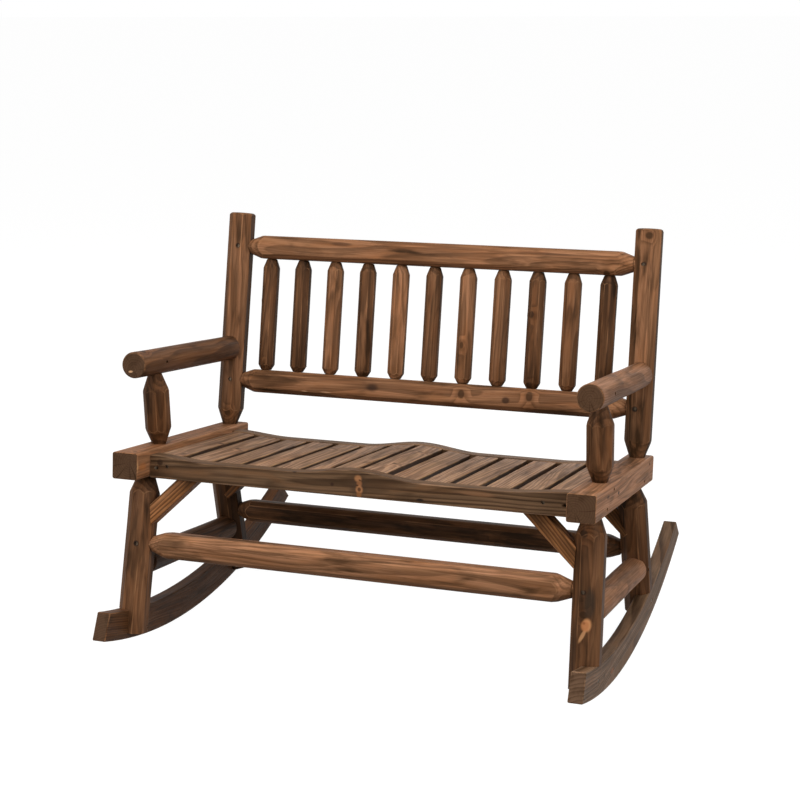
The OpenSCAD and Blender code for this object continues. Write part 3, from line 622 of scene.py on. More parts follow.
@dataclass(frozen=True)
class Joinery:
    """Places of the holes that two or more pieces share, given for the bench's right side."""

    plan: Plan = PLAN
    post_pin_in: float = 6
    leg_pin_in: float = 6
    side_pin_forward: float = 14
    arm_pin_back: float = 8
    # Height and direction of a toe screw, its start inside the beam's face and the depth of its head
    front_toe: tuple[float, float] = (-41, -40)
    rear_toe: tuple[float, float] = (-22, 220)
    toe_in: float = 19
    toe_sink: float = 4.5
    # Distance from the left or right beam, and depth, of the screws at a rail's ends
    left_end_screw: tuple[float, float] = (46, 36)
    right_end_screw: tuple[float, float] = (68, 38)
    # The screws from the cleat into the rail stand three slats apart
    cleat_screw_drop: float = 54
    cleat_screw_slats: int = 3
    brace_screw_sink: float = 0.45
    bolt_back: float = 6
    bolt_sink: float = 1
    nail_back: float = 12
    nail_drop: float = 8
    nail_sink: float = 2

    def mortise(self, start: Point, along: Point, diameter: float, length: float) -> Bore:
        """A mortise with its clearance."""
        return Bore(start, along, (((diameter + self.plan.tenon_fit) / 2, length),), 48)

    def upright_mortise(self, frame: Matrix, diameter: float, low: float, high: float) -> Bore:
        """A mortise up the z of a frame, between two heights."""
        return self.mortise(frame @ Vector((0, 0, low)), frame.to_3x3() @ UP, diameter, high - low)

    def cope(self, frame: Matrix, diameter: float, low: float, high: float) -> Bore:
        """Room for a round log that stands in a frame between two heights."""
        start, end = frame @ Vector((0, 0, low)), frame @ Vector((0, 0, high))
        return Bore(start, end - start, ((diameter / 2 + self.plan.cope_gap, high - low),), 96)

    def housing(self, start: Point, length: float, diameter: float) -> Bore:
        """Room in a post or leg for a round log with a square end, along y."""
        return Bore(start, (0, 1, 0), ((diameter / 2 + self.plan.cope_gap, length),), 96)

    def arm_housing(self) -> Bore:
        """Room in a post for the armrest's rear end.

        Returns:
            The housing.
        """
        plan = self.plan
        return self.housing((plan.log_x, plan.arm_front, plan.arm_h),
                            plan.arm_end - plan.arm_front + plan.cope_gap, plan.arm_d)

    def side_housing(self) -> Bore:
        """Room in both legs for the side stretcher's ends.

        Returns:
            The housing.
        """
        plan = self.plan
        low, high = plan.side_end(Row.FRONT) - plan.cope_gap, plan.side_end(Row.REAR) + plan.cope_gap
        x = plan.leg_at(Row.FRONT, Side.RIGHT, -plan.side_stretcher_drop).x
        return self.housing((x, low, -plan.side_stretcher_drop), high - low, plan.side_stretcher_d)

    def beam_pins(self) -> list[Bore]:
        """Pins from a beam's outer face into the tenons of support, front leg, rear leg and post.

        Returns:
            Their holes.
        """
        plan, half = self.plan, self.plan.beam_tenon / 2
        rows = [plan.support_y + rise(plan.support_lean) * half,
                plan.leg_at(Row.FRONT, Side.RIGHT, half - plan.beam_h).y,
                plan.leg_at(Row.REAR, Side.RIGHT, half - plan.beam_h).y,
                plan.post_y - rise(plan.recline) * half]
        heights = [-half, half - plan.beam_h, half - plan.beam_h, -half]
        return [FRAME_SCREW.hole((plan.frame_w / 2 - plan.screw_sink, y, z), (-1, 0, 0))
                for y, z in zip(rows, heights)]

    def post_pins(self) -> list[Bore]:
        """Pins from the front of a post into the tenons of the two back rails.

        Returns:
            Their holes.
        """
        plan = self.plan
        front = Vector((0, plan.screw_sink - plan.post_d / 2, 0))
        return [FRAME_SCREW.hole(plan.back_frame(plan.log_x - self.post_pin_in - plan.post_in(h), h) @ front,
                                 plan.back_frame().to_3x3() @ Vector((0, 1, 0)))
                for h in (plan.upper_rail_h, plan.lower_rail_h)]

    def leg_pin(self, row: Row) -> Bore:
        """Pin into a stretcher's tenon, from the front of a front leg or the back of a rear leg.

        Args:
            row: Front or rear.

        Returns:
            Its hole.
        """
        plan = self.plan
        start = plan.leg_at(row, Side.RIGHT, -plan.stretcher_drop) - Vector((self.leg_pin_in, 0, 0))
        out = turned(-plan.leg_top(row)[1], "X", 3) @ Vector((0, row.value, 0))
        return FRAME_SCREW.hole(start + out * (plan.leg_d / 2 - plan.screw_sink), -out)

    def side_pin(self) -> Bore:
        """Pin from the outer side of a rear leg into the side stretcher's tenon.

        Returns:
            Its hole.
        """
        plan = self.plan
        point = plan.leg_at(Row.REAR, Side.RIGHT, -plan.side_stretcher_drop)
        head = Vector((plan.leg_d / 2 - plan.screw_sink, -self.side_pin_forward, 0))
        return FRAME_SCREW.hole(point + head, (-1, 0, 0))

    def arm_pin(self, side: Side) -> Bore:
        """Pin into an arm support's upper tenon, driven from the bench's right on both arms.

        Args:
            side: Left or right.

        Returns:
            Its hole.
        """
        plan = self.plan
        x = side.value * plan.log_x + plan.arm_d / 2 - plan.screw_sink
        y = plan.support_y - rise(plan.support_lean) * plan.arm_h + self.arm_pin_back
        return FRAME_SCREW.hole((x, y, plan.arm_h), (-1, 0, 0))

    def arm_bolt(self) -> Bore:
        """Bolt from the back of a post into the armrest.

        Returns:
            Its hole.
        """
        plan = self.plan
        y = plan.post_y + rise(plan.recline) * plan.arm_h + plan.post_d / 2 - 2 * plan.screw_sink
        return ARM_BOLT.hole((plan.log_x, y, plan.arm_h), (0, -1, 0))

    def toe_screw(self, row: Row) -> Bore:
        """Toe screw through a rail's end into the beam.

        Args:
            row: Front or rear.

        Returns:
            Its hole.
        """
        plan = self.plan
        y, (z, turn) = ((plan.front_rail_y, self.front_toe) if row is Row.FRONT
                        else (plan.rear_rail_y + plan.rail_t, self.rear_toe))
        line = turned(turn, "Z", 3) @ Vector((0, 1, 0))
        return FRAME_SCREW.hole(Vector((plan.inner_x - self.toe_in, y, z)) + line * self.toe_sink, line)

    def cleat_screws(self, row: Row) -> list[Bore]:
        """Screws between a rail and its cleat, over the bench's whole width.

        Args:
            row: Front or rear.

        Returns:
            Their holes.
        """
        plan = self.plan
        forward = -row.value
        face = plan.front_rail_y if row is Row.FRONT else plan.rear_rail_y + plan.rail_t
        back = face + forward * (plan.rail_t + plan.cleat_t)
        step = self.cleat_screw_slats * plan.slat_pitch
        (left, left_drop), (right, right_drop) = self.left_end_screw, self.right_end_screw
        outer = [FRAME_SCREW.hole((x, face + forward * plan.screw_sink, -drop), (0, forward, 0))
                 for x, drop in ((left - plan.inner_x, left_drop), (plan.inner_x - right, right_drop))]
        inner = [FRAME_SCREW.hole((x * step, back - forward * plan.screw_sink, -self.cleat_screw_drop),
                                  (0, -forward, 0)) for x in (-1, 0, 1)]
        return outer + inner

    def brace_screws(self, row: Row) -> list[Bore]:
        """Screws through a brace: one up into the rail, one out into the leg.

        Args:
            row: Front or rear.

        Returns:
            Their holes.
        """
        plan = self.plan
        rail_y = (plan.front_rail_y if row is Row.FRONT else plan.rear_rail_y) + plan.rail_t
        brace_front = plan.brace_y(row) - plan.brace_t / 2
        up_x = plan.brace_leg_x() - (plan.brace_drop - plan.rail_bottom) / rise(plan.brace_angle)
        sink = plan.brace_w * self.brace_screw_sink
        return [FRAME_SCREW.hole((up_x, (rail_y + brace_front) / 2, -plan.rail_bottom - sink), UP),
                FRAME_SCREW.hole((plan.brace_leg_x() - sink, plan.brace_y(row), -plan.brace_drop), (1, 0, 0))]

    def rocker_bolt(self, row: Row) -> Bore:
        """Bolt from the outer face of a rocker through it into the leg.

        Args:
            row: Front or rear.

        Returns:
            Its hole.
        """
        plan = self.plan
        x, y = plan.lap_x + plan.rocker_t - self.bolt_sink, plan.lap_y(row) + self.bolt_back
        return ROCKER_BOLT.hole((x, y, plan.rocker_mid(y)), (-1, 0, 0))

    def rocker_nail(self, row: Row) -> Bore:
        """Nail from the inner side of a leg's foot through the lap into the rocker.

        Args:
            row: Front or rear.

        Returns:
            Its hole.
        """
        plan = self.plan
        z = plan.rocker_mid(plan.lap_y(row)) - self.nail_drop
        leg = plan.leg_at(row, Side.RIGHT, z)
        inner = leg.x - math.sqrt(plan.leg_d ** 2 / 4 - self.nail_back ** 2) + self.nail_sink
        return NAIL.hole((inner, leg.y + self.nail_back, z), (1, 0, 0))

    def stretcher_mortises(self, row: Row) -> list[Bore]:
        """Mortises in a leg for the long stretcher and the side stretcher.

        Args:
            row: Front or rear.

        Returns:
            The two mortises.
        """
        plan = self.plan
        long = plan.leg_at(row, Side.RIGHT, -plan.stretcher_drop)
        side = plan.leg_at(row, Side.RIGHT, -plan.side_stretcher_drop)
        inward = -row.value
        return [self.mortise((long.x - plan.leg_d, long.y, long.z), (1, 0, 0), plan.tenon_d,
                             self.log_mortise(plan.leg_d)),
                self.mortise((side.x, side.y + inward * plan.leg_d, side.z), (0, -inward, 0),
                             plan.small_tenon_d, plan.leg_d + 3)]

    def log_mortise(self, diameter: float) -> float:
        """Length of a mortise's cutter that starts a log's diameter off the log's middle line."""
        return (diameter + self.plan.peel) / 2 + self.plan.log_tenon + self.plan.mortise_spare

    def cutters(self, bores: Sequence[Bore], side: Side = Side.RIGHT) -> list[Piece]:
        """Cutting solids of holes that are given for the right, on a side."""
        return [bore.mirrored(side).cutter() for bore in bores]

    def both(self, bores: Sequence[Bore]) -> list[Bore]:
        """The same holes on the left and on the right."""
        return [bore.mirrored(side) for side in Side for bore in bores]


JOINERY = Joinery()




# ---- finishes ----

WHITE = (1, 1, 1, 1)


def linear(colour: str) -> tuple[float, float, float, float]:
    """Turn an sRGB hex colour into Blender's linear one."""
    parts = [int(colour[i:i + 2], 16) / 255 for i in (1, 3, 5)]
    return tuple(p / 12.92 if p <= 0.04045 else ((p + 0.055) / 1.055) ** 2.4 for p in parts) + (1.0,)


def add_node(tree: bpy.types.NodeTree, kind: str, inputs: Mapping[int | str, object] | None = None,
             **settings: object) -> bpy.types.Node:
    """Add a node with its settings and links.

    Args:
        tree: The node tree.
        kind: The node's type, without the word ShaderNode.
        inputs: For each input, a value to set, or a socket or node to link. A node gives its first output
            that is in use.
        **settings: The node's own settings.

    Returns:
        The node.
    """
    made = tree.nodes.new("ShaderNode" + kind)
    for name, value in settings.items():
        setattr(made, name, value)
    for key, value in (inputs or {}).items():
        if isinstance(value, bpy.types.Node):
            value = next(output for output in value.outputs if output.enabled)
        if isinstance(value, bpy.types.NodeSocket):
            tree.links.new(value, made.inputs[key])
        else:
            made.inputs[key].default_value = value
    return made


def clear_nodes(block: bpy.types.Material | bpy.types.World) -> NodeMaker:
    """Empty a material's or world's node tree and give add_node for that tree.

    Args:
        block: The material or world.

    Returns:
        The helper for its tree.
    """
    block.use_nodes = True
    block.node_tree.nodes.clear()
    return partial(add_node, block.node_tree)


@dataclass(frozen=True)
class Mark:
    """A knot, a scar, a rubbed place or painted shade at one spot of a piece, in the seat's millimetres."""

    place: Point
    size: Point
    colour: str
    strength: float = 1.0
    lean: float = 0.0

    def spread(self, node: NodeMaker, ragged: bpy.types.Node) -> bpy.types.Node:
        """Make the nodes that give how much of the mark lies at a point.

        Args:
            node: Adds a node to the material.
            ragged: An uneven vector that frays the mark's outline.

        Returns:
            The node with the mark's share, 0 to its strength.
        """
        spot = node("TexCoord").outputs["Object"]
        frayed = node("VectorMath", {0: spot, 1: ragged}, operation="ADD")
        local = node("Mapping", {
            "Vector": frayed, "Location": AT_REST @ Vector(self.place),
            "Rotation": (math.radians(-PLAN.rest_tilt), math.radians(self.lean), 0),
            "Scale": Vector(self.size) * MM}, vector_type="TEXTURE")
        far = node("VectorMath", {0: local}, operation="LENGTH")
        return node("MapRange", {"Value": far, "From Min": 1.15, "From Max": 0.55, "To Min": 0.0,
                                 "To Max": self.strength}, interpolation_type="SMOOTHSTEP")


@dataclass(frozen=True)
class TorchedFir:
    """Fir that was peeled or sawn, passed over with a torch and wire-brushed, then oiled.

    The torch scorches the soft early wood brown and the brush leaves the hard late wood as fine ridges,
    so that the eye sees dark lines along the grain, clouds where the flame stayed longer, and pale brown
    wherever an edge was rubbed. The oil gives a low satin sheen.
    """

    name: str
    brown: str = "#6e4a31"
    pale: str = "#9a6c4c"
    amber: str = "#8a5835"
    scorched: str = "#33200f"
    rubbed: str = "#a37450"
    end_brown: str = "#4f3827"
    # Year rings of young fir are about 3 to 6 mm apart
    ring: float = 5.5
    ring_strength: float = 0.5
    # Fibres are finer than a tenth of a millimetre; drawn 2.8 mm wide and 320 mm long so that they show
    fibre_w: float = 2.8
    fibre_l: float = 320.0
    cloud: float = 0.62
    bands: float = 0.36
    knots: float = 0.08
    # How far the edges are rubbed through
    worn: float = 0.42
    # The brushed ridges stand about 0.3 mm high
    relief: float = 0.3
    sheen: float = 0.56

    def material(self, marks: Sequence[Mark] = (), suffix: str = "") -> bpy.types.Material:
        """Make the finish as a material.

        Args:
            marks: Knots and scars at fixed places.
            suffix: Word added to the name for a piece with its own marks.

        Returns:
            The material.
        """
        material = bpy.data.materials.new(self.name + suffix)
        node = clear_nodes(material)
        grain, shade, cut = (node("Attribute", attribute_name=name).outputs["Vector"]
                             for name in ("grain", "shade", "cut"))
        tone, warmth, char = node("SeparateXYZ", {0: shade}).outputs
        rubbed, end, facet = node("SeparateXYZ", {0: cut}).outputs

        # The heart wanders as the tree grew: 4 mm over a hand's length
        stretched = node("VectorMath", {0: grain, 1: (9, 9, 2.4)}, operation="MULTIPLY")
        wander = node("TexNoise", {"Vector": stretched, "Scale": 1.0, "Detail": 2.0})
        shift = node("VectorMath", {0: wander.outputs["Color"], 1: (0.5, 0.5, 0.5)}, operation="SUBTRACT")
        grown = node("VectorMath", {0: shift, 1: (0.02, 0.02, 0.0), 2: grain}, operation="MULTIPLY_ADD")
        across = node("VectorMath", {0: grown, 1: (1, 1, 0)}, operation="MULTIPLY")
        radius = node("VectorMath", {0: across}, operation="LENGTH")

        # Knots sit round the heart, each in a cell 110 mm round a log of 34 mm radius and 125 mm along it
        x, y, z = node("SeparateXYZ", {0: grown}).outputs
        turn = node("Math", {0: x, 1: y}, operation="ARCTAN2")
        round_way = node("Math", {0: turn, 1: 0.034 / 0.11}, operation="MULTIPLY")
        long_way = node("Math", {0: z, 1: 1 / 0.125}, operation="MULTIPLY")
        unrolled = node("CombineXYZ", {0: round_way, 1: long_way})
        cells = node("TexVoronoi", {"Vector": unrolled, "Scale": 1.0}, voronoi_dimensions="2D")
        chance = node("SeparateColor", {0: cells.outputs["Color"]})
        has_knot = node("Math", {0: chance, 1: self.knots}, operation="LESS_THAN")
        halo, core = (node("MapRange", {"Value": cells, "From Min": outer, "From Max": inner},
                           interpolation_type="SMOOTHSTEP") for outer, inner in ((0.26, 0.04), (0.085, 0.05)))
        swirl, knot = (node("Math", {0: part, 1: has_knot}, operation="MULTIPLY") for part in (halo, core))

        # Year rings, uneven in width: each darkens slowly and ends sharply
        bent = node("Math", {0: swirl, 1: 0.007, 2: radius}, operation="MULTIPLY_ADD")
        uneven = node("TexNoise", {"W": bent, "Scale": 90.0, "Detail": 1.0}, noise_dimensions="1D")
        counted = node("Math", {0: bent, 1: 1 / (self.ring * MM), 2: uneven}, operation="MULTIPLY_ADD")
        year = node("Math", {0: counted}, operation="FRACT")
        rising, falling = (node("MapRange", {"Value": year, "From Min": low, "From Max": high},
                                interpolation_type="SMOOTHSTEP") for low, high in ((0.25, 0.86), (1.0, 0.9)))
        late = node("Math", {0: rising, 1: falling}, operation="MULTIPLY")

        # Fibres, clouds of flame, and dark and pale bands about 18 mm wide along the grain
        width = 1 / (self.fibre_w * MM)
        fine = node("VectorMath", {0: grown, 1: (width, width, 1 / (self.fibre_l * MM))},
                    operation="MULTIPLY")
        fibre = node("TexNoise", {"Vector": fine, "Scale": 1.0, "Detail": 3.0, "Roughness": 0.6})
        broad = node("VectorMath", {0: grain, 1: (38, 38, 7)}, operation="MULTIPLY")
        clouds = node("TexNoise", {"Vector": broad, "Scale": 1.0, "Detail": 3.0,
                                   "Roughness": 0.55, "Distortion": 0.4})
        flamed, ambered, patched = node("SeparateColor", {0: clouds.outputs["Color"]}).outputs
        long = node("VectorMath", {0: grown, 1: (55, 55, 2.4)}, operation="MULTIPLY")
        band = node("TexNoise", {"Vector": long, "Scale": 1.0, "Detail": 2.0})
        flame, dark_band, pale_band = (
            node("MapRange", {"Value": value, "From Min": low, "From Max": high, "To Max": most},
                 interpolation_type="SMOOTHSTEP")
            for value, low, high, most in ((flamed, 0.47, 0.72, self.cloud), (band, 0.5, 0.72, self.bands),
                                           (band, 0.48, 0.28, self.bands)))

        # Pale to brown with the fibres, amber in some clouds, darker in the late wood and where the flame
        # stayed; each hewn flat has its own tone, which on a piece's shaded side is painted shade, and knots
        # are dark in an amber ring
        streak = node("MapRange", {"Value": fibre, "From Min": 0.3, "From Max": 0.7})
        wood = node("Mix", {0: streak, 6: linear(self.brown), 7: linear(self.pale)}, data_type="RGBA")
        warm = node("Math", {0: ambered, 1: warmth}, operation="ADD")
        warmed = node("MapRange", {"Value": warm, "From Min": 0.48, "From Max": 0.72, "To Max": 0.65})
        dark_line = node("Math", {0: late, 1: self.ring_strength}, operation="MULTIPLY")
        burn_and_painted_shade = node("Math", {0: flame, 1: dark_band}, operation="ADD")
        # The flats' darkness, partly painted shade, joins the flame's
        burn_and_painted_shade = node("Math", {0: burn_and_painted_shade, 1: facet}, operation="ADD")
        burn_and_painted_shade = node("Math", {0: burn_and_painted_shade, 1: char}, operation="ADD", use_clamp=True)
        ringed = node("Math", {0: swirl, 1: 0.16}, operation="MULTIPLY")
        dark_knot = node("Math", {0: knot, 1: 0.8}, operation="MULTIPLY")
        for share, colour in ((warmed, self.amber), (dark_line, self.scorched), (pale_band, self.rubbed),
                              (burn_and_painted_shade, self.scorched), (ringed, self.amber), (dark_knot, self.scorched)):
            wood = node("Mix", {0: share, 6: wood, 7: linear(colour)}, data_type="RGBA")

        # A lower tone darkens a piece and deepens its red; where the low tone stands for the shade a piece
        # lies in, this is painted shade
        green = node("Math", {0: tone, 1: 1.08}, operation="POWER")
        blue = node("Math", {0: tone, 1: 1.24}, operation="POWER")
        depth = node("CombineXYZ", {0: tone, 1: green, 2: blue})
        wood = node("Mix", {0: 1.0, 6: wood, 7: depth}, data_type="RGBA", blend_type="MULTIPLY")

        # Sawn ends drink the oil and go dark and grey, and check from the heart outwards
        checks = node("TexNoise", {"W": turn, "Scale": 5.0, "Detail": 3.0}, noise_dimensions="1D")
        crack = node("MapRange", {"Value": checks, "From Min": 0.6, "From Max": 0.7})
        faint = node("Math", {0: dark_line, 1: 0.6}, operation="MULTIPLY")
        stained = node("Math", {0: flame, 1: 0.8, 2: faint}, operation="MULTIPLY_ADD", use_clamp=True)
        sawn = linear(self.end_brown)
        for share in (crack, stained):
            sawn = node("Mix", {0: share, 6: sawn, 7: linear(self.scorched)}, data_type="RGBA")
        wood = node("Mix", {0: end, 6: wood, 7: sawn}, data_type="RGBA")

        # Edges are rubbed through in places, and the marks lie over all
        patchy = node("MapRange", {"Value": patched, "From Min": 0.45, "From Max": 0.64,
                                   "To Max": self.worn})
        worn = node("Math", {0: rubbed, 1: patchy}, operation="MULTIPLY")
        wood = node("Mix", {0: worn, 6: wood, 7: linear(self.rubbed)}, data_type="RGBA")
        frayed = node("VectorMath", {0: wander.outputs["Color"], 1: (0.02, 0.02, 0.02),
                                     2: (-0.01, -0.01, -0.01)}, operation="MULTIPLY_ADD")
        for mark in marks:
            wood = node("Mix", {0: mark.spread(node, frayed), 6: wood, 7: linear(mark.colour)},
                        data_type="RGBA")

        # Ridges of late wood and fibre
        ridge = node("Math", {0: fibre, 1: 0.9, 2: late}, operation="MULTIPLY_ADD")
        bump = node("Bump", {"Height": ridge, "Strength": 0.8, "Distance": self.relief * MM})
        rough = node("MapRange", {"Value": fibre, "From Min": 0.3, "From Max": 0.7,
                                  "To Min": self.sheen + 0.12, "To Max": self.sheen - 0.06})
        shader = node("BsdfPrincipled", {"Base Color": wood, "Roughness": rough, "Normal": bump,
                                         "IOR": 1.5, "Specular IOR Level": 0.08})
        node("OutputMaterial", {0: shader})
        return material

    def shared(self) -> bpy.types.Material:
        """Give the finish without marks, made at its first use."""
        return bpy.data.materials.get(self.name) or self.material()


@dataclass(frozen=True)
class ZincSteel:
    """Zinc-plated steel, rolled and stamped: pale blue-grey metal with a dull, slightly clouded shine."""

    name: str = "zinc_plated_steel"
    plate: str = "#c9c6bf"
    dull: str = "#8f8c86"
    # Zinc's crystals are below a tenth of a millimetre; drawn 1.5 mm wide so that they show
    crystal: float = 1.5

    def material(self) -> bpy.types.Material:
        """Make the finish as a material.

        Returns:
            The material.
        """
        material = bpy.data.materials.new(self.name)
        node = clear_nodes(material)
        spot = node("TexCoord").outputs["Object"]
        cloud = node("TexNoise", {"Vector": spot, "Scale": 1 / (self.crystal * MM), "Detail": 2.0})
        colour = node("Mix", {0: cloud, 6: linear(self.dull), 7: linear(self.plate)}, data_type="RGBA")
        rough = node("MapRange", {"Value": cloud, "To Min": 0.32, "To Max": 0.5})
        shader = node("BsdfPrincipled", {"Base Color": colour, "Metallic": 1.0, "Roughness": rough})
        node("OutputMaterial", {0: shader})
        return material




# ---- logs and boards ----

# A face this square to the grain is a sawn end, and an edge under this many degrees is shaded smooth
END_FACE = 0.85
SMOOTH_ANGLE = 22
# Faces round a log and round a tenon
LOG_SIDES = 56
TENON_SIDES = 48
# Faces round the large discs that cut the rockers' arcs
ARC_SIDES = 256
# How far a log is hewn past where it is sawn off, and how far a joined tenon reaches into its log
SAW_OFF = 6
TENON_REACH = 8


@dataclass(frozen=True)
class Growth:
    """How a piece was cut from its tree: the heart's place across the grain and the piece's look.

    heart is the heart's offset in millimetres; drift is how far the heart runs sideways over the piece's
    length; tone is its lightness and warmth its share of amber.
    """

    heart: Point = (0, 0)
    drift: Point = (0, 0)
    tone: float = 1.0
    warmth: float = 0.0


@dataclass
class Timber:
    """A wooden piece while it is worked on, with the frame of its grain."""

    name: str
    solid: Piece
    grain_frame: Matrix
    growth: Growth = Growth()
    # Scorched lengths at the low and high end along the grain, and their strength
    scorch: tuple[float, float, float] = (0, 0, 0)
    # How dark each of eight flats round the grain is, as tone and, on a shaded side, as painted shade; drawn
    # by lot where none are given
    flats: tuple[float, ...] = ()
    # Centre (y, z) and radius of the arc that the grain follows, if it isn't straight
    sweep: Point | None = None

    def unroll(self, place: Vector) -> Vector:
        """Turn a place in the seat's frame into a place in the grain's frame.

        Args:
            place: The place.

        Returns:
            The place in the grain's frame.
        """
        spot = self.grain_frame.inverted() @ place
        if self.sweep is None:
            return spot
        y, z, radius = self.sweep
        back, down = place.y - y, z - place.z
        return Vector((spot.x, math.hypot(back, down) - radius, radius * math.atan2(back, down)))

    def place(self) -> "Timber":
        """Move the piece from its own frame into the seat's frame."""
        settle(self.solid, self.grain_frame)
        return self

    def bore(self, bores: Sequence[Bore], side: Side = Side.RIGHT) -> "Timber":
        """Cut holes that are given for the right side."""
        cut_away(self.solid, JOINERY.cutters(bores, side))
        return self

    def face(self, point: Point, outward: Point) -> "Timber":
        """Saw the piece off flat along a plane of the seat's frame.

        Args:
            point: A point of the plane.
            outward: The way the flat faces.

        Returns:
            The same piece.
        """
        with editing(self.solid):
            slice_off(point, outward)
        return self

    def dress(self, material: bpy.types.Material, slot: str) -> Piece:
        """Give the piece its grain, finish and name, and set it down at rest.

        Args:
            material: The finish.
            slot: Not used.

        Returns:
            The finished object.
        """
        solid, mesh = self.solid, self.solid.data
        draw = random.Random(self.name)
        offset = draw.uniform(0, 900)
        heights = [self.unroll(v.co).z for v in mesh.vertices]
        low, high = min(heights), max(heights)
        grain = mesh.attributes.new("grain", "FLOAT_VECTOR", "POINT")
        shade = mesh.attributes.new("shade", "FLOAT_VECTOR", "POINT")
        wild = (draw.uniform(-3, 3), draw.uniform(-3, 3))
        low_burn, high_burn, burn = self.scorch
        for i, vertex in enumerate(mesh.vertices):
            spot = self.unroll(vertex.co)
            along = (spot.z - low) / max(high - low, 1)
            x, y = (place - heart - off - drift * (along - 0.5) for place, heart, off, drift
                    in zip(spot, self.growth.heart, wild, self.growth.drift))
            grain.data[i].vector = Vector((x, -y, spot.z + offset)) * MM
            near = max(1 - (spot.z - low) / low_burn if low_burn else 0.0,
                       1 - (high - spot.z) / high_burn if high_burn else 0.0, 0.0)
            shade.data[i].vector = (self.growth.tone, self.growth.warmth, burn * min(near * 1.3, 1.0))
        cut = mesh.attributes.new("cut", "FLOAT_VECTOR", "FACE")
        flats = self.flats or tuple(draw.choice((0.0, 0.0, 0.06, 0.12, 0.22, 0.34)) for _ in range(8))
        for i, polygon in enumerate(mesh.polygons):
            normal = self.unroll(polygon.center + polygon.normal) - self.unroll(polygon.center)
            on_end = abs(normal.z) > END_FACE
            flat = flats[round(math.degrees(math.atan2(normal.y, normal.x)) / 45) % 8]
            cut.data[i].vector = (float(polygon.material_index == 1), float(on_end), 0.0 if on_end else flat)
        mesh.materials.clear()
        mesh.materials.append(material)
        for polygon in mesh.polygons:
            polygon.material_index = 0
        only(solid)
        bpy.ops.object.shade_smooth_by_angle(angle=math.radians(SMOOTH_ANGLE))
        settle(solid, AT_REST)
        solid.name = mesh.name = f"dressed_{self.name}"
        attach(solid, "root")
        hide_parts(self.name)
        LOG.info("%s: %d faces", solid.name, len(mesh.polygons))
        return solid


@dataclass(frozen=True)
class End:
    """A log's end: the diameter that it tapers to, the taper's length and its tenon's diameter and length."""

    tip: float
    taper: float
    tenon: float = 0
    tenon_l: float = 0


@dataclass(frozen=True)
class Log:
    """A peeled log along +Z from 0, hewn to flats round its length, in millimetres."""

    length: float
    diameter: float
    low: End
    high: End
    # Each flat's direction in degrees and distance from the middle
    flats: tuple[tuple[float, float], ...] = ()
    # How far the hewing strays from true
    stray: float = 0.5
    rubbed_edge: float = 1.4

    @staticmethod
    def eight(across: float, start: float = 0) -> tuple[tuple[float, float], ...]:
        """Eight equal flats, given their distance across."""
        return tuple((start + 45 * i, across / 2) for i in range(8))

    @staticmethod
    def squared(across: float, chamfer: float) -> tuple[tuple[float, float], ...]:
        """Four broad flats and four chamfers between them."""
        flat, corner = across / 2, (across - chamfer) / math.sqrt(2)
        return tuple((45 * i, corner if i % 2 else flat) for i in range(8))

    def hew(self, name: str) -> Piece:
        """Shape the log.

        Args:
            name: Name of the piece, which also seeds how the hewing strays.

        Returns:
            The log along +Z.
        """
        draw = random.Random(name)
        body = self.length - self.low.taper - self.high.taper
        log = round_bar((0, 0, self.low.taper), UP, self.diameter / 2, body, LOG_SIDES)
        with editing(log):
            for end, sign, edge in ((self.low, -1, self.low.taper), (self.high, 1, self.low.taper + body)):
                if end.taper > 0:
                    self.select_end(sign, edge)
                    extrude((0, 0, sign * end.taper))
                    share = end.tip / self.diameter
                    bpy.ops.transform.resize(value=(share, share, 1), center_override=(0, 0, 0))
            self.wander(body, draw)
            for direction, distance in self.flats:
                angle = math.radians(direction)
                lean = draw.uniform(-1, 1) * self.stray / max(self.length, 1)
                normal = Vector((math.cos(angle), math.sin(angle), lean))
                inset = distance - draw.uniform(0, self.stray)
                slice_off(normal.normalized() * inset + UP * self.length / 2, normal)
            if self.flats:
                bpy.ops.mesh.select_all(action="SELECT")
                bpy.ops.mesh.remove_doubles(threshold=0.9)
                # A strip narrower than the rubbed edges would leave no room for them
                bpy.ops.mesh.select_mode(type="VERT")
                bpy.ops.mesh.select_all(action="DESELECT")
                low, high = self.low.taper - 2, self.low.taper + body + 2
                select("verts", lambda middle, normal: low < middle.z < high)
                bpy.ops.mesh.remove_doubles(threshold=2.2)
                bpy.ops.mesh.select_mode(type="FACE")
        ease_edges(log, self.rubbed_edge)
        with editing(log):
            for end, sign, edge in ((self.low, -1, 0.0), (self.high, 1, self.length)):
                if end.tenon > 0:
                    bpy.ops.mesh.select_all(action="DESELECT")
                    self.select_end(sign, edge, 0.3)
                    extrude((0, 0, 0))
                    share = end.tenon / end.tip
                    bpy.ops.transform.resize(value=(share, share, 1), center_override=(0, 0, edge))
                    extrude((0, 0, sign * end.tenon_l))
        return log

    def select_end(self, sign: int, height: float, reach: float = 0.1) -> None:
        """Select the faces that close the open log at a height, facing up (1) or down (-1)."""
        select("faces", lambda middle, normal: normal.z * sign > 0.9 and abs(middle.z - height) < reach)

    def wander(self, body: float, draw: random.Random) -> None:
        """Push rings along the open log's body a little out of true.

        Args:
            body: Length between the tapers.
            draw: Gives how far each ring strays.
        """
        rings = [self.low.taper + body * (i + 1) / 6 for i in range(5)] if body > 150 else []
        for z in rings:
            slice_off((0, 0, z), UP, keep=True)
        bpy.ops.mesh.select_mode(type="VERT")
        for z in rings:
            bpy.ops.mesh.select_all(action="DESELECT")
            select("verts", lambda middle, normal: abs(middle.z - z) < 0.1)
            step = (draw.uniform(-1, 1) * self.stray, draw.uniform(-1, 1) * self.stray, 0)
            bpy.ops.transform.translate(value=step)
            size = 1 - draw.uniform(0, self.stray) / self.diameter
            bpy.ops.transform.resize(value=(size, size, 1), center_override=(0, 0, z))
        bpy.ops.mesh.select_mode(type="FACE")


def edge_to_edge(across: float) -> float:
    """Diameter of the round that eight flats of one distance across are hewn from."""
    return across / math.cos(math.radians(22.5)) + 0.6


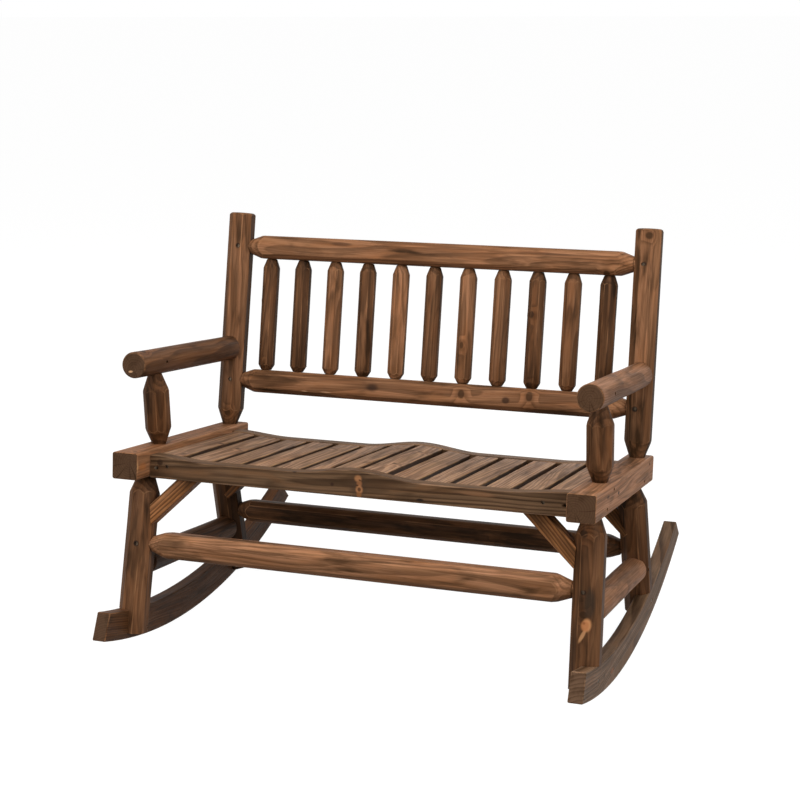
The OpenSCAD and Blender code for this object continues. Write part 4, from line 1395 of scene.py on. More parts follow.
def taper_run(diameter: float, tip: float, slope: float = PLAN.taper_slope) -> float:
    """Length of a taper from one diameter to another."""
    return (diameter - tip) / 2 / rise(slope)


def pointed(diameter: float, tip: float, past: float) -> End:
    """A pencil point that runs on past its tip, to be sawn or coped there."""
    return End(tip - 2 * past * rise(PLAN.taper_slope), taper_run(diameter, tip) + past)


def board(low: Point, high: Point, radius: float, rings: int = 2) -> Piece:
    """Plane a squared board with eased edges.

    Args:
        low: Its lowest corner.
        high: Its highest corner.
        radius: Radius of its long and short edges.
        rings: Faces across a rounding.

    Returns:
        The board.
    """
    bar = squared_bar(low, high)
    ease_edges(bar, radius, 30, rings)
    return bar


# ---- sub-assemblies ----

@dataclass
class SubAssembly:
    """A group of pieces that are built together."""

    wood: TorchedFir
    slot: str = "log_wood"
    plan: Plan = PLAN

    def finish(self, timber: Timber, marks: Sequence[Mark] = (), holes: Sequence[Bore] = (),
               wood: TorchedFir | None = None, slot: str = "") -> Piece:
        """Dress a piece in the group's finish, or in one with its own marks.

        Args:
            timber: The piece.
            marks: Its knots and scars.
            holes: Screw holes whose mouths get a dark ring of painted shade.
            wood: Another finish than the group's.
            slot: Another material slot than the group's.

        Returns:
            The finished object.
        """
        wood = wood or self.wood
        # Screw-hole mouths get a dark ring of painted shade
        marks = [*marks, *(hole.soot() for hole in holes)]
        material = wood.material(marks, "_" + timber.name) if marks else wood.shared()
        return timber.dress(material, slot or self.slot)

    def hewn(self, name: str, log: Log, at: Matrix, growth: Growth, start: float = 0,
             scorch: tuple[float, float, float] = (0, 0, 0), flats: tuple[float, ...] = ()) -> Timber:
        """Hew a log, start it at this height of its middle line's frame and set it in its place."""
        solid = settle(log.hew(name), Matrix.Translation((0, 0, start)))
        return Timber(name, solid, at, growth, scorch, flats).place()


@dataclass
class SeatFrame(SubAssembly):
    """The two seat beams and the two shaped rails between them."""

    slot: str = "sawn_wood"
    beams: TorchedFir | None = None
    beam_round: float = 5
    dip_end: float = 10
    dip_low: float = 20
    dip_crest: float = 4
    crest_run: float = 156
    end_run: float = 150
    stations: int = 56
    # Small knots on the right beam's outer face, and a pale split on the left one's front end
    beam_spots: Mapping[Side, Spots] = field(default_factory=lambda: {
        Side.RIGHT: (((585, 231, -29), (6, 9, 5), "#24160e"), ((585, 120, -22), (6, 16, 4), "#3b281c", 0.8)),
        Side.LEFT: (((-519, 3, -30), (3, 4, 30), "#c0905f", 0.8),
                    ((-519, 26, -34), (3, 26, 16), "#a5673a", 0.7))})
    # The front rail's big knot in its scorched patch, then its small knots and its streaks: place across
    # and up, width and height, colour, strength and lean
    rail_spots: tuple[tuple[float | str, ...], ...] = (
        (15, -35, 24, 38, "#3d2c20", 0.55), (13, -18, 11, 10, "#9c6a44", 0.85, 14),
        (17, -30, 8, 9, "#8a5a39", 0.8), (17, -45, 10, 12, "#a06d47", 0.85), (16, -58, 7, 9, "#80522f", 0.8),
        (17, -45, 5, 6, "#4c2f1d", 0.9), (18, -22, 4, 2.5, "#4a2d1b", 0.9, 30),
        (12, -35, 4, 2.5, "#3a2416", 0.85), (165, -60, 10, 4, "#1d120b"), (-148, -17, 8, 4.5, "#20140c"),
        (-52, -38, 5, 6, "#2c1b11", 0.9), (-492, -30, 9, 8, "#2a1a10", 0.8),
        (-330, -44, 40, 5, "#3a271b", 0.5), (300, -30, 46, 7, "#7c573c", 0.6))

    def rail_top(self, x: float) -> float:
        """Height of a rail's shaped top at a distance across the bench.

        Args:
            x: The distance.

        Returns:
            The height.
        """
        def blend(t: float) -> float:
            """Ease from 0 to 1."""
            return (1 - math.cos(math.pi * min(max(t, 0), 1))) / 2
        from_beam = self.plan.inner_x - abs(x)
        return (-self.dip_crest - (self.dip_low - self.dip_crest) * blend(abs(x) / self.crest_run)
                + (self.dip_low - self.dip_end) * blend(1 - from_beam / self.end_run))

    def beam(self, side: Side) -> Piece:
        """Build a seat beam, with its grain front to back.

        Args:
            side: Left or right.

        Returns:
            The beam.
        """
        plan = self.plan
        half_w, half_h = plan.beam_w / 2, plan.beam_h / 2
        bar = squared_bar((-half_w, -half_h, 0), (half_w, half_h, plan.beam_l))
        for _ in range(2):
            bar.data.materials.append(None)
        with editing(bar, "EDGE"):
            select("edges", lambda middle, line: abs(line.z) > 0.9)
            bpy.ops.mesh.bevel(offset=self.beam_round, segments=4, profile=0.5, material=1)
        ease_edges(bar, 1.2, 40)
        at = Matrix.Translation((side.value * plan.log_x, 0, -plan.beam_h / 2)) @ turned(-90, "X")
        growth = (Growth((-9, 6), (6, 3), 1.42, -0.06) if side is Side.RIGHT
                  else Growth((4, -8), (-4, 8), 1.12, 0.06))
        flats = (0.0, 0.1, 0.1, 0.1, 0.0, 0.1, 0.14 if side is Side.RIGHT else 0.04, 0.1)
        timber = Timber(f"{side.label}_seat_beam", bar, at, growth, flats=flats).place()
        depth = plan.beam_tenon + plan.mortise_spare
        seats = [(plan.post_frame(Side.RIGHT), plan.tenon_d),
                 (plan.support_frame(Side.RIGHT), plan.small_tenon_d),
                 *((plan.leg_frame(row, Side.RIGHT), plan.tenon_d) for row in Row)]
        timber.bore([*(JOINERY.upright_mortise(frame, width, -depth, depth) for frame, width in seats),
                     *JOINERY.beam_pins(), *(JOINERY.toe_screw(row) for row in Row)], side)
        return self.finish(timber, [Mark(*spot) for spot in self.beam_spots[side]], wood=self.beams)

    def rail_blank(self) -> Piece:
        """Shape a rail along +X, its top following the seat.

        Returns:
            The blank.
        """
        w, step = self.plan.inner_x, 2 * self.plan.inner_x / self.stations
        places = [-w + i * step for i in range(self.stations + 1)]
        return strip([(x, self.rail_top(x)) for x in places], -self.plan.rail_bottom, self.plan.rail_t)

    def rail(self, row: Row, blank: Piece) -> Piece:
        """Finish a copy of the blank as the front or rear rail.

        Args:
            row: Front or rear.
            blank: The blank.

        Returns:
            The rail.
        """
        plan = self.plan
        y = plan.front_rail_y if row is Row.FRONT else plan.rear_rail_y
        solid = copy_of(blank)
        # The grain runs along the rail: the drawing frame's +Z lies along +X
        lay = turned(90, "Y")
        settle(solid, lay.inverted())
        ease_edges(solid, 2.6, 50, 2)
        growth = (Growth((36, -16), (-26, 14), 0.66, 0.0) if row is Row.FRONT
                  else Growth((28, 30), (20, 6), 0.7))
        timber = Timber(f"{row.label}_seat_rail", solid, Matrix.Translation((0, y, 0)) @ lay, growth).place()
        timber.bore(JOINERY.cleat_screws(row)
                    + JOINERY.both([JOINERY.toe_screw(row), *JOINERY.brace_screws(row)]))
        marks = [Mark((x, y, z), (width, 6, height), *look) for x, z, width, height, *look in self.rail_spots]
        return self.finish(timber, marks if row is Row.FRONT else ())

    def build(self) -> None:
        """Build the beams and rails."""
        for side in Side:
            self.beam(side)
        blank = self.rail_blank()
        for row in Row:
            self.rail(row, blank)
        bpy.data.objects.remove(blank)


@dataclass
class SeatSlats(SubAssembly):
    """The fourteen slats, which lie on the chord of the rails' shaped tops."""

    slot: str = "slat_wood"
    seat_frame: SeatFrame | None = None
    gap: float = 15.5
    end_gap: float = 2
    thickness: float = 18
    edge: float = 2.5
    sink: float = 1.5
    seat_gap: float = 0.1
    # Where a slat's screws start, from the slat's top
    screw_start: float = 11 - 18 - 32
    # The narrow sides were charred and not brushed, and with the underside they are darkened further as
    # painted shade in the gaps and under the seat
    flats: tuple[float, ...] = (0.85, 0.1, 0.0, 0.1, 0.85, 0.5, 0.5, 0.5)
    # Lightness and warmth of each slat, from the bench's left
    tones: tuple[tuple[float, float], ...] = (
        (0.95, 0.1), (1.02, 0.0), (0.95, -0.06), (1.12, 0.02), (0.94, -0.08), (1.08, 0.08), (0.92, -0.02),
        (1.15, -0.05), (0.98, 0.03), (1.14, -0.08), (0.97, -0.04), (1.2, 0.0), (1.03, -0.07), (1.24, 0.03))

    def build(self) -> None:
        """Plane one slat, bore it and lay a copy in each place."""
        plan = self.plan
        width = plan.slat_pitch - self.gap
        front = plan.front_rail_y + plan.rail_t + self.end_gap
        length = plan.rear_rail_y - self.end_gap - front
        slat = board((-width / 2, -self.thickness, 0), (width / 2, 0, length), self.edge)
        # Drawn along +Z with its face towards +Y, then laid front to back with the face up
        lay = turned(-90, "X") @ turned(180, "Z")
        seats = (plan.front_rail_y + plan.rail_t + plan.cleat_t / 2, plan.rear_rail_y - plan.cleat_t / 2)
        holes = [SLAT_SCREW.hole(lay.inverted() @ Vector((0, y - front, self.screw_start)),
                                 lay.inverted().to_3x3() @ UP) for y in seats]
        cut_away(slat, JOINERY.cutters(holes))
        for i in range(1, plan.slat_count + 1):
            x, z, tilt = self.lie(i)
            at = Matrix.Translation((x, front, z)) @ Matrix.Rotation(-tilt, 4, "Y") @ lay
            draw = random.Random(f"slat{i}")
            tone, warmth = self.tones[(i - 1) % len(self.tones)]
            heart = (draw.uniform(-34, 34), -draw.uniform(22, 60))
            growth = Growth(heart, (draw.uniform(-14, 14), draw.uniform(-16, 16)), tone, warmth)
            # The rear half is less rubbed by sitting
            timber = Timber(f"seat_slat_{i:02d}", copy_of(slat), at, growth, (0, 260, 0.26), self.flats)
            self.finish(timber.place())
        bpy.data.objects.remove(slat)
        for row in Row:
            self.cleat(row)

    def lie(self, i: int) -> tuple[float, float, float]:
        """Find how a slat lies.

        Args:
            i: Its number, from 1.

        Returns:
            Its middle across the bench, its top's height there and its slope in radians.
        """
        plan, rail_top = self.plan, self.seat_frame.rail_top
        x, half = (i - (plan.slat_count + 1) / 2) * plan.slat_pitch, (plan.slat_pitch - self.gap) / 2
        low, high = rail_top(x - half), rail_top(x + half)
        return x, (low + high) / 2 - self.sink, math.atan((high - low) / (2 * half))

    def cleat(self, row: Row) -> Piece:
        """Build the strip behind a rail, stepped to carry the slats.

        Args:
            row: Front or rear.

        Returns:
            The cleat.
        """
        plan = self.plan
        half = (plan.slat_pitch - self.gap) / 2
        stations = []
        for i in range(1, plan.slat_count + 1):
            x, z, tilt = self.lie(i)
            stations += [(x + edge * half * math.cos(tilt) + self.thickness * math.sin(tilt),
                          z + edge * half * math.sin(tilt) - self.thickness * math.cos(tilt) - self.seat_gap)
                         for edge in (-1, 1)]
        stations = [(-plan.inner_x, stations[0][1])] + stations + [(plan.inner_x, stations[-1][1])]
        solid = strip(stations, -plan.rail_bottom, plan.cleat_t)
        y = plan.front_rail_y + plan.rail_t if row is Row.FRONT else plan.rear_rail_y - plan.cleat_t
        lay = turned(90, "Y")
        settle(solid, lay.inverted())
        timber = Timber(f"{row.label}_slat_cleat", solid, Matrix.Translation((0, y, 0)) @ lay,
                        Growth((20, 24), (10, 8), 0.35, -0.1)).place()
        bores = JOINERY.cleat_screws(row)
        for i in range(1, plan.slat_count + 1):
            x, z, tilt = self.lie(i)
            up = Vector((-math.sin(tilt), 0, math.cos(tilt)))
            bores.append(SLAT_SCREW.hole(Vector((x, y + plan.cleat_t / 2, z)) + up * self.screw_start, up))
        timber.bore(bores + JOINERY.both(JOINERY.brace_screws(row)))
        return self.finish(timber, slot="cleat_wood")


@dataclass
class Back(SubAssembly):
    """The two posts, the two pencil-pointed rails and the spindles between them."""

    post_chamfer: float = 4
    rail_chamfer: float = 12
    spindle_count: int = 11
    spindle_pitch: float = 91
    spindle_d: float = 42
    spindle_tip: float = 27
    foot_slope: float = 30
    spindle_tenon: float = 20
    spindle_tenon_l: float = 18
    # How dark the eight flats of a post are: the dark right side is painted shade, the rest differ in tone
    post_flats: tuple[float, ...] = (0.8, 0.4, 0.2, 0.2, 0.1, 0.3, 0.08, 0.0)
    # Lightness of each spindle, from the bench's left, and how dark its eight flats are, darkest on the right
    # side as painted shade
    spindle_tones: tuple[float, ...] = (0.59, 0.47, 1.05, 0.71, 1.43, 0.75, 1.11, 0.93, 0.56, 0.81, 0.55)
    spindle_flats: tuple[float, ...] = (0.5, 0.3, 0.2, 0.2, 0.1, 0.12, 0.0, 0.2)
    # Knots, chips and streaks on the rails' front faces: place across and up, size, colour and strength
    upper_spots: Spots = (
        ((151, 500), (6, 8, 3), "#d8ae84"), ((-253, 486), (36, 9, 7), "#2e1e14", 0.55),
        ((60, 462), (60, 9, 4), "#4a3020", 0.5), ((300, 488), (80, 9, 4), "#4a3020", 0.4))
    lower_spots: Spots = (
        ((-143, 123), (20, 9, 12), "#2c1c13", 0.8), ((-166, 143), (4, 6, 3), "#cfa77f", 0.9),
        ((-330, 104), (14, 6, 2), "#cfa27a", 0.8), ((-270, 106), (22, 6, 2), "#cfa27a", 0.8),
        ((-205, 100), (18, 6, 1.8), "#cfa27a", 0.8), ((212, 118), (12, 8, 9), "#2c1c13", 0.8),
        ((40, 112), (70, 8, 4), "#9a6a46", 0.5))

    def post(self, side: Side) -> Piece:
        """Build a back post with its pencil-pointed foot.

        Args:
            side: Left or right.

        Returns:
            The post.
        """
        plan = self.plan
        across = edge_to_edge(plan.post_d - plan.peel)
        log = Log(plan.post_h + SAW_OFF, across, pointed(across, plan.tip_d, SAW_OFF),
                  End(plan.post_d - 2 * self.post_chamfer, (across - plan.post_d) / 2 + self.post_chamfer),
                  Log.eight(plan.post_d - plan.peel), 0.5)
        growth = (Growth((5, 3), (9, -14), 0.95, 0.04) if side is Side.LEFT
                  else Growth((-4, 8), (12, 10), 0.96, 0.0))
        at = plan.post_frame(side)
        timber = self.hewn(f"{side.label}_back_post", log, at, growth, -SAW_OFF, (260, 0, 0.5),
                           self.post_flats)
        timber.face((0, 0, 0), -UP)
        tenon_foot(timber, at, plan.tenon_d, plan.beam_tenon)
        bores = [JOINERY.mortise(plan.back_frame(plan.log_x - plan.post_d - plan.post_in(h), h).translation,
                                 (1, 0, 0), plan.tenon_d, JOINERY.log_mortise(plan.post_d))
                 for h in (plan.upper_rail_h, plan.lower_rail_h)]
        timber.bore(bores + JOINERY.post_pins() + JOINERY.beam_pins()
                    + [JOINERY.arm_housing(), JOINERY.arm_bolt()], side)
        return self.finish(timber, holes=[bore.mirrored(side) for bore in JOINERY.post_pins()])

    def pointed_rail(self, name: str, height: float, growth: Growth, marks: Sequence[Mark]) -> Piece:
        """Build a back rail: squared, chamfered, pencil-pointed and tenoned into the posts.

        Args:
            name: The CAD node's name.
            height: Height of its middle line up the back.
            growth: How it was cut from its tree.
            marks: Its knots and scars.

        Returns:
            The finished rail.
        """
        plan = self.plan
        ease = (plan.tip_d + 1) * rise(plan.post_lean_in)
        length = 2 * (plan.log_x - plan.post_in(height)) - plan.post_d + plan.peel - ease
        log = pointed_log(length, plan.back_rail_d, self.rail_chamfer)
        at = plan.back_frame(0, height) @ turned(90, "Y")
        timber = self.hewn(name, log, at, growth, -length / 2, (45, 45, 0.4))
        depth, clear = self.spindle_tenon_l + plan.mortise_spare, 4
        low, high = self.spindle_span()
        start = low - depth if height == plan.lower_rail_h else high - clear
        bores = [JOINERY.upright_mortise(plan.back_frame(self.spindle_x(i), start), self.spindle_tenon,
                                         0, depth + clear) for i in range(1, self.spindle_count + 1)]
        timber.bore(bores + JOINERY.both(JOINERY.post_pins()))
        return self.finish(timber, marks)

    def spindle_span(self) -> tuple[float, float]:
        """Heights of a spindle's shoulders, up the back."""
        plan = self.plan
        return plan.lower_rail_h + plan.back_rail_d / 2, plan.upper_rail_h - plan.back_rail_d / 2

    def spindle_x(self, i: int) -> float:
        """Place of a spindle across the bench, counted from 1."""
        return (i - (self.spindle_count + 1) / 2) * self.spindle_pitch

    def spindles(self) -> None:
        """Hew one spindle and stand a turned copy in each place."""
        plan = self.plan
        low, high = self.spindle_span()
        across = edge_to_edge(self.spindle_d)
        foot, top = (End(self.spindle_tip, taper_run(across, self.spindle_tip, slope), self.spindle_tenon,
                         self.spindle_tenon_l) for slope in (self.foot_slope, plan.taper_slope))
        spindle = Log(high - low, across, foot, top, Log.eight(self.spindle_d), 0.7, 1.2).hew("back_spindle")
        for i in range(1, self.spindle_count + 1):
            draw = random.Random(f"spindle{i}")
            at = plan.back_frame(self.spindle_x(i), low)
            twin = settle(copy_of(spindle), turned(45 * draw.randrange(8), "Z"))
            heart = (draw.uniform(-12, 12), draw.uniform(-12, 12))
            growth = Growth(heart, (draw.uniform(-9, 9), draw.uniform(-9, 9)),
                            self.spindle_tones[(i - 1) % len(self.spindle_tones)], draw.uniform(-0.08, 0.1))
            timber = Timber(f"back_spindle_{i:02d}", twin, at, growth, (44, 62, 0.4), self.spindle_flats)
            self.finish(timber.place())
        bpy.data.objects.remove(spindle)

    def build(self) -> None:
        """Build the posts, rails and spindles."""
        plan = self.plan
        for side in Side:
            self.post(side)
        upper, lower = Growth((12, 16), (20, -30), 1.02, 0.02), Growth((-10, 18), (-26, 22))
        for name, height, growth, spots in (
                ("upper_back_rail", plan.upper_rail_h, upper, self.upper_spots),
                ("lower_back_rail", plan.lower_rail_h, lower, self.lower_spots)):
            self.pointed_rail(name, height, growth, [
                Mark(plan.back_frame(x, up) @ Vector((0, -plan.back_rail_d / 2, 0)), *look)
                for (x, up), *look in spots])
        self.spindles()


def pointed_log(length: float, across: float, chamfer: float) -> Log:
    """A squared and chamfered log, pencil-pointed and tenoned at both ends.

    Args:
        length: Length between the shoulders.
        across: Width over the flats.
        chamfer: Width of the corner flats.

    Returns:
        The log.
    """
    round_d = 2 * math.hypot(across / 2, across / 2 - chamfer) + 1
    end = End(PLAN.tip_d, taper_run(round_d, PLAN.tip_d), PLAN.tenon_d, PLAN.log_tenon)
    return Log(length, round_d, end, end, Log.squared(across, chamfer), 0.8)


def tenon_foot(timber: Timber, at: Matrix, diameter: float, length: float) -> None:
    """Join a tenon to the end of a log that was sawn off flat on the beam.

    Args:
        timber: The piece, in the seat's frame.
        at: The frame of its middle line, with the origin on the beam.
        diameter: The tenon's diameter.
        length: Its length beyond the origin; a negative one runs up instead of down.
    """
    start = at @ Vector((0, 0, -length))
    tenon = round_bar(start, at.to_3x3() @ Vector((0, 0, length)), diameter / 2, abs(length) + TENON_REACH,
                      TENON_SIDES)
    join(timber.solid, tenon)


@dataclass
class Arms(SubAssembly):
    """The two round armrests and the pointed supports under them."""

    chamfer: float = 2
    butt_chamfer: float = 3
    support_d: float = 60
    support_tip: float = 34
    # How far a support is hewn into the armrest before it is coped, and its tenon reaches past the middle
    cope_past: float = 14
    tenon_up: float = 10
    tenon_l: float = 50

    def arm_frame(self, side: Side) -> Matrix:
        """Frame of an armrest, with z from its front end to its rear end."""
        plan = self.plan
        return Matrix.Translation((side.value * plan.log_x, plan.arm_front, plan.arm_h)) @ turned(-90, "X")

    def support_reach(self) -> float:
        """Length from the beam to the top of a support's upper tenon."""
        return (self.plan.arm_h + self.tenon_up) / math.cos(math.radians(self.plan.support_lean))

    def armrest(self, side: Side) -> Piece:
        """Build an armrest, with its square rear end let into the post.

        Args:
            side: Left or right.

        Returns:
            The armrest.
        """
        plan = self.plan
        log = Log(plan.arm_end - plan.arm_front, plan.arm_d, End(plan.arm_d - 2 * self.chamfer, self.chamfer),
                  End(plan.arm_d - 2 * self.butt_chamfer, self.butt_chamfer), stray=0.5, rubbed_edge=1.2)
        growth = (Growth((3, 4), (8, -10), 0.56, 0.02) if side is Side.LEFT
                  else Growth((-5, 3), (-10, 8), 0.88, -0.04))
        timber = self.hewn(f"{side.label}_armrest", log, self.arm_frame(side), growth)
        reach = self.support_reach() + plan.mortise_spare
        timber.bore([JOINERY.upright_mortise(plan.support_frame(Side.RIGHT), plan.small_tenon_d, 100, reach),
                     JOINERY.arm_bolt()], side)
        timber.bore([JOINERY.arm_pin(side)])
        marks = [Mark((-559, 38, 190), (6, 6, 3), "#c79c74", 0.9)] if side is Side.LEFT else ()
        return self.finish(timber, marks)

    def support(self, side: Side) -> Piece:
        """Build an arm support, pointed at both ends and coped under the armrest.

        Args:
            side: Left or right.

        Returns:
            The support.
        """
        plan = self.plan
        top = (plan.arm_h - plan.arm_d / 2) / math.cos(math.radians(plan.support_lean))
        across = edge_to_edge(self.support_d)
        log = Log(top + SAW_OFF + self.cope_past, across, pointed(across, self.support_tip, SAW_OFF),
                  pointed(across, self.support_tip, self.cope_past), Log.eight(self.support_d), 0.9)
        at = plan.support_frame(side)
        growth = (Growth((6, -6), (8, 6), 0.5, 0.06) if side is Side.LEFT
                  else Growth((-6, 5), (-9, 4), 0.76, 0.04))
        timber = self.hewn(f"{side.label}_arm_support", log, at, growth, -SAW_OFF, (48, 62, 0.5))
        timber.face((0, 0, 0), -UP)
        timber.bore([JOINERY.cope(self.arm_frame(Side.RIGHT), plan.arm_d, 0, plan.arm_end)], side)
        tenon_foot(timber, at, plan.small_tenon_d, plan.beam_tenon)
        upper = Matrix.Translation((0, 0, self.support_reach() - self.tenon_l))
        tenon_foot(timber, at @ upper, plan.small_tenon_d, -self.tenon_l)
        timber.bore([JOINERY.beam_pins()[0]], side)
        timber.bore([JOINERY.arm_pin(side)])
        return self.finish(timber)

    def build(self) -> None:
        """Build both arms."""
        for side in Side:
            self.support(side)
            self.armrest(side)


@dataclass
class Base(SubAssembly):
    """The four legs, the long and side stretchers and the corner braces."""

    braces: TorchedFir | None = None
    butt_chamfer: float = 3
    front_stretcher_d: float = 60
    rear_stretcher_d: float = 56
    chamfer: float = 12
    foot_lift: float = 13
    front_leg_l: float = 450
    rear_leg_drop: float = 470
    # How dark a leg's eight flats are: more on its right, as painted shade, but the front left leg was
    # scorched evenly
    flats: tuple[float, ...] = (0.6, 0.3, 0.2, 0.2, 0.1, 0.2, 0.1, 0.12)
    even_flats: tuple[float, ...] = (0.18, 0.16, 0.14, 0.16, 0.18, 0.16, 0.14, 0.16)
    # The front right leg's scorched patch and the comma-shaped knot below it, and a crumb of pale wood
    spots: Mapping[tuple[Row, Side], Spots] = field(
        default_factory=lambda: {
            (Row.FRONT, Side.RIGHT): (
                ((565, 54, -252), (15, 22, 42), "#2e241b", 0.75),
                ((552, 54, -324), (5, 24, 21), "#b08058", 0.85, 24),
                ((561, 54, -300), (12, 24, 16), "#c08658", 0.85),
                ((557, 54, -302), (11, 24, 14), "#a56a42", 0.85),
                ((554, 54, -296), (4, 24, 3.5), "#7a4a2e", 0.7)),
            (Row.FRONT, Side.LEFT): (((-497, 20, -419), (4, 12, 3), "#d9c4a8", 0.8),)})

    def foot_cutters(self, side: Side) -> list[Piece]:
        """Make what the feet are cut with: the ground below a foot, and the rocker's place in the lap.

        Args:
            side: Side of the bench.

        Returns:
            Two blocks, hollowed by the rocker's two edges.
        """
        plan, blocks = self.plan, []
        for inner, outer, centre, radius in (
                (plan.lap_x - 90, plan.lap_x, plan.rocker_centre, plan.rocker_r - self.foot_lift),
                (plan.lap_x, plan.lap_x + 200, plan.rocker_top_centre, plan.rocker_top_r - plan.cope_gap)):
            low, high = sorted((side.value * inner, side.value * outer))
            block = squared_bar((low, -160, -700), (high, 1000, -plan.rocker_drop + 260))
            disc = round_bar((low - 5, *centre), (1, 0, 0), radius, high - low + 10, ARC_SIDES)
            cut_away(block, [disc])
            blocks.append(block)
        return blocks

    def leg(self, row: Row, side: Side) -> Piece:
        """Build a leg: pointed under the beam, its foot lapped over the rocker.

        Args:
            row: Front or rear leg.
            side: Side of the bench.

        Returns:
            The finished leg.
        """
        plan = self.plan
        lean = plan.leg_top(row)[1]
        across = edge_to_edge(plan.leg_d - plan.peel)
        length = (self.rear_leg_drop / math.cos(math.radians(lean)) if row is Row.REAR
                  else self.front_leg_l)
        log = Log(length + SAW_OFF, across, End(across, 0), pointed(across, plan.tip_d, SAW_OFF),
                  Log.eight(plan.leg_d - plan.peel), 0.5)
        at = plan.leg_frame(row, side)
        growth = {(Row.FRONT, Side.LEFT): Growth((6, 5), (10, -8), 0.8, 0.03),
                  (Row.FRONT, Side.RIGHT): Growth((-7, 6), (-12, 8), 0.6),
                  # The rear left leg's low tone is painted shade: it stands in shade under the seat
                  (Row.REAR, Side.LEFT): Growth((4, -6), (9, 9), 0.36),
                  (Row.REAR, Side.RIGHT): Growth((-5, 3), (6, -11), 0.62, 0.02)}[row, side]
        flats = self.even_flats if (row, side) == (Row.FRONT, Side.LEFT) else self.flats
        timber = self.hewn(f"{row.label}_{side.label}_leg", log, at, growth, -length, (0, 60, 0.4), flats)
        timber.face((0, 0, -plan.beam_h), UP)
        cut_away(timber.solid, self.foot_cutters(side))
        tenon_foot(timber, at, plan.tenon_d, -plan.beam_tenon)
        bores = [*JOINERY.stretcher_mortises(row), JOINERY.side_housing(), JOINERY.leg_pin(row),
                 JOINERY.brace_screws(row)[1], JOINERY.rocker_bolt(row), JOINERY.rocker_nail(row),
                 JOINERY.beam_pins()[1 if row is Row.FRONT else 2]]
        if row is Row.REAR:
            bores.append(JOINERY.side_pin())
        timber.bore(bores, side)
        marks = [Mark(*spot) for spot in self.spots.get((row, side), ())]
        return self.finish(timber, marks, [JOINERY.leg_pin(row).mirrored(side)])

    def stretcher(self, row: Row) -> Piece:
        """Build the long stretcher between the front or rear legs.

        Args:
            row: Front or rear.

        Returns:
            The stretcher.
        """
        plan = self.plan
        middle = plan.leg_at(row, Side.RIGHT, -plan.stretcher_drop)
        across = self.front_stretcher_d if row is Row.FRONT else self.rear_stretcher_d
        length = 2 * middle.x - plan.leg_d
        log = pointed_log(length, across, self.chamfer)
        at = Matrix.Translation((0, middle.y, middle.z)) @ turned(90, "Y")
        # The rear stretcher's low tone is painted shade: it lies in shade under the seat
        growth = (Growth((-12, 12), (22, 18), 1.42) if row is Row.FRONT
                  else Growth((10, 10), (14, 10), 0.5))
        timber = self.hewn(f"{row.label}_stretcher", log, at, growth, -length / 2, (48, 48, 0.3))
        timber.bore(JOINERY.both([JOINERY.leg_pin(row)]))
        return self.finish(timber)

    def side_stretcher(self, side: Side) -> Piece:
        """Build a side stretcher, with its square ends let into the two legs.

        Args:
            side: Left or right.

        Returns:
            The side stretcher.
        """
        plan = self.plan
        front = plan.leg_at(Row.FRONT, side, -plan.side_stretcher_drop)
        rear = plan.leg_at(Row.REAR, side, -plan.side_stretcher_drop)
        low, high = plan.side_end(Row.FRONT), plan.side_end(Row.REAR)
        butt = End(plan.side_stretcher_d - 2 * self.butt_chamfer, self.butt_chamfer)
        log = Log(high - low, plan.side_stretcher_d, butt, butt, stray=0.6)
        at = Matrix.Translation((front.x, low, front.z)) @ turned(-90, "X")
        growth = (Growth((6, 5), (6, 8), 0.5) if side is Side.LEFT
                  else Growth((-6, 8), (9, -8), 1.25, -0.05))
        timber = self.hewn(f"{side.label}_side_stretcher", log, at, growth)
        # The tenon runs right through, 2 mm past the middle line of each leg
        join(timber.solid, round_bar(front - Vector((0, 2, 0)), (0, 1, 0), plan.small_tenon_d / 2,
                                     rear.y - front.y + 4, TENON_SIDES))
        timber.bore([JOINERY.side_pin()], side)
        return self.finish(timber)

    def brace(self, row: Row, side: Side) -> Piece:
        """Build a corner brace, cut flat under the rail and coped round the leg.

        Args:
            row: Front or rear.
            side: Left or right.

        Returns:
            The brace.
        """
        plan = self.plan
        slope = math.radians(plan.brace_angle)
        length = 2 * (plan.brace_drop - plan.rail_bottom) / math.sin(slope) + 2 * plan.brace_w
        half_w, half_t = plan.brace_w / 2, plan.brace_t / 2
        solid = board((-half_w, -half_t, -plan.brace_w), (half_w, half_t, length - plan.brace_w), 2.2)
        # +Z runs from the leg up and inwards to the rail
        up = Vector((-math.cos(slope) * side.value, 0, math.sin(slope)))
        at = (Matrix.Translation((side.value * plan.brace_leg_x(), plan.brace_y(row), -plan.brace_drop))
              @ up.to_track_quat("Z", "Y").to_matrix().to_4x4())
        draw = random.Random(f"{row.label}{side.label}brace")
        growth = Growth((draw.uniform(-20, 20), draw.uniform(26, 40)), (draw.uniform(-14, 14), 6),
                        1.3 if row is Row.FRONT else 0.6, 0.1)
        name = f"{row.label}_{side.label}_brace"
        timber = Timber(name, solid, at, growth).place()
        timber.face((0, 0, -plan.rail_bottom), UP)
        timber.bore([JOINERY.cope(plan.leg_frame(row, Side.RIGHT), plan.leg_d, -300, 60)], side)
        with editing(timber.solid):
            # What is left beyond the leg is cut off
            beyond = plan.brace_leg_x() + plan.leg_d / 2 + 4
            select("faces", lambda middle, normal: middle.x * side.value > beyond)
            bpy.ops.mesh.select_linked()
            bpy.ops.mesh.delete(type="VERT")
        timber.bore(JOINERY.brace_screws(row), side)
        return self.finish(timber, wood=self.braces, slot="brace_wood")

    def build(self) -> None:
        """Build the base from the legs inwards."""
        for row in Row:
            for side in Side:
                self.leg(row, side)
                self.brace(row, side)
            self.stretcher(row)
        for side in Side:
            self.side_stretcher(side)


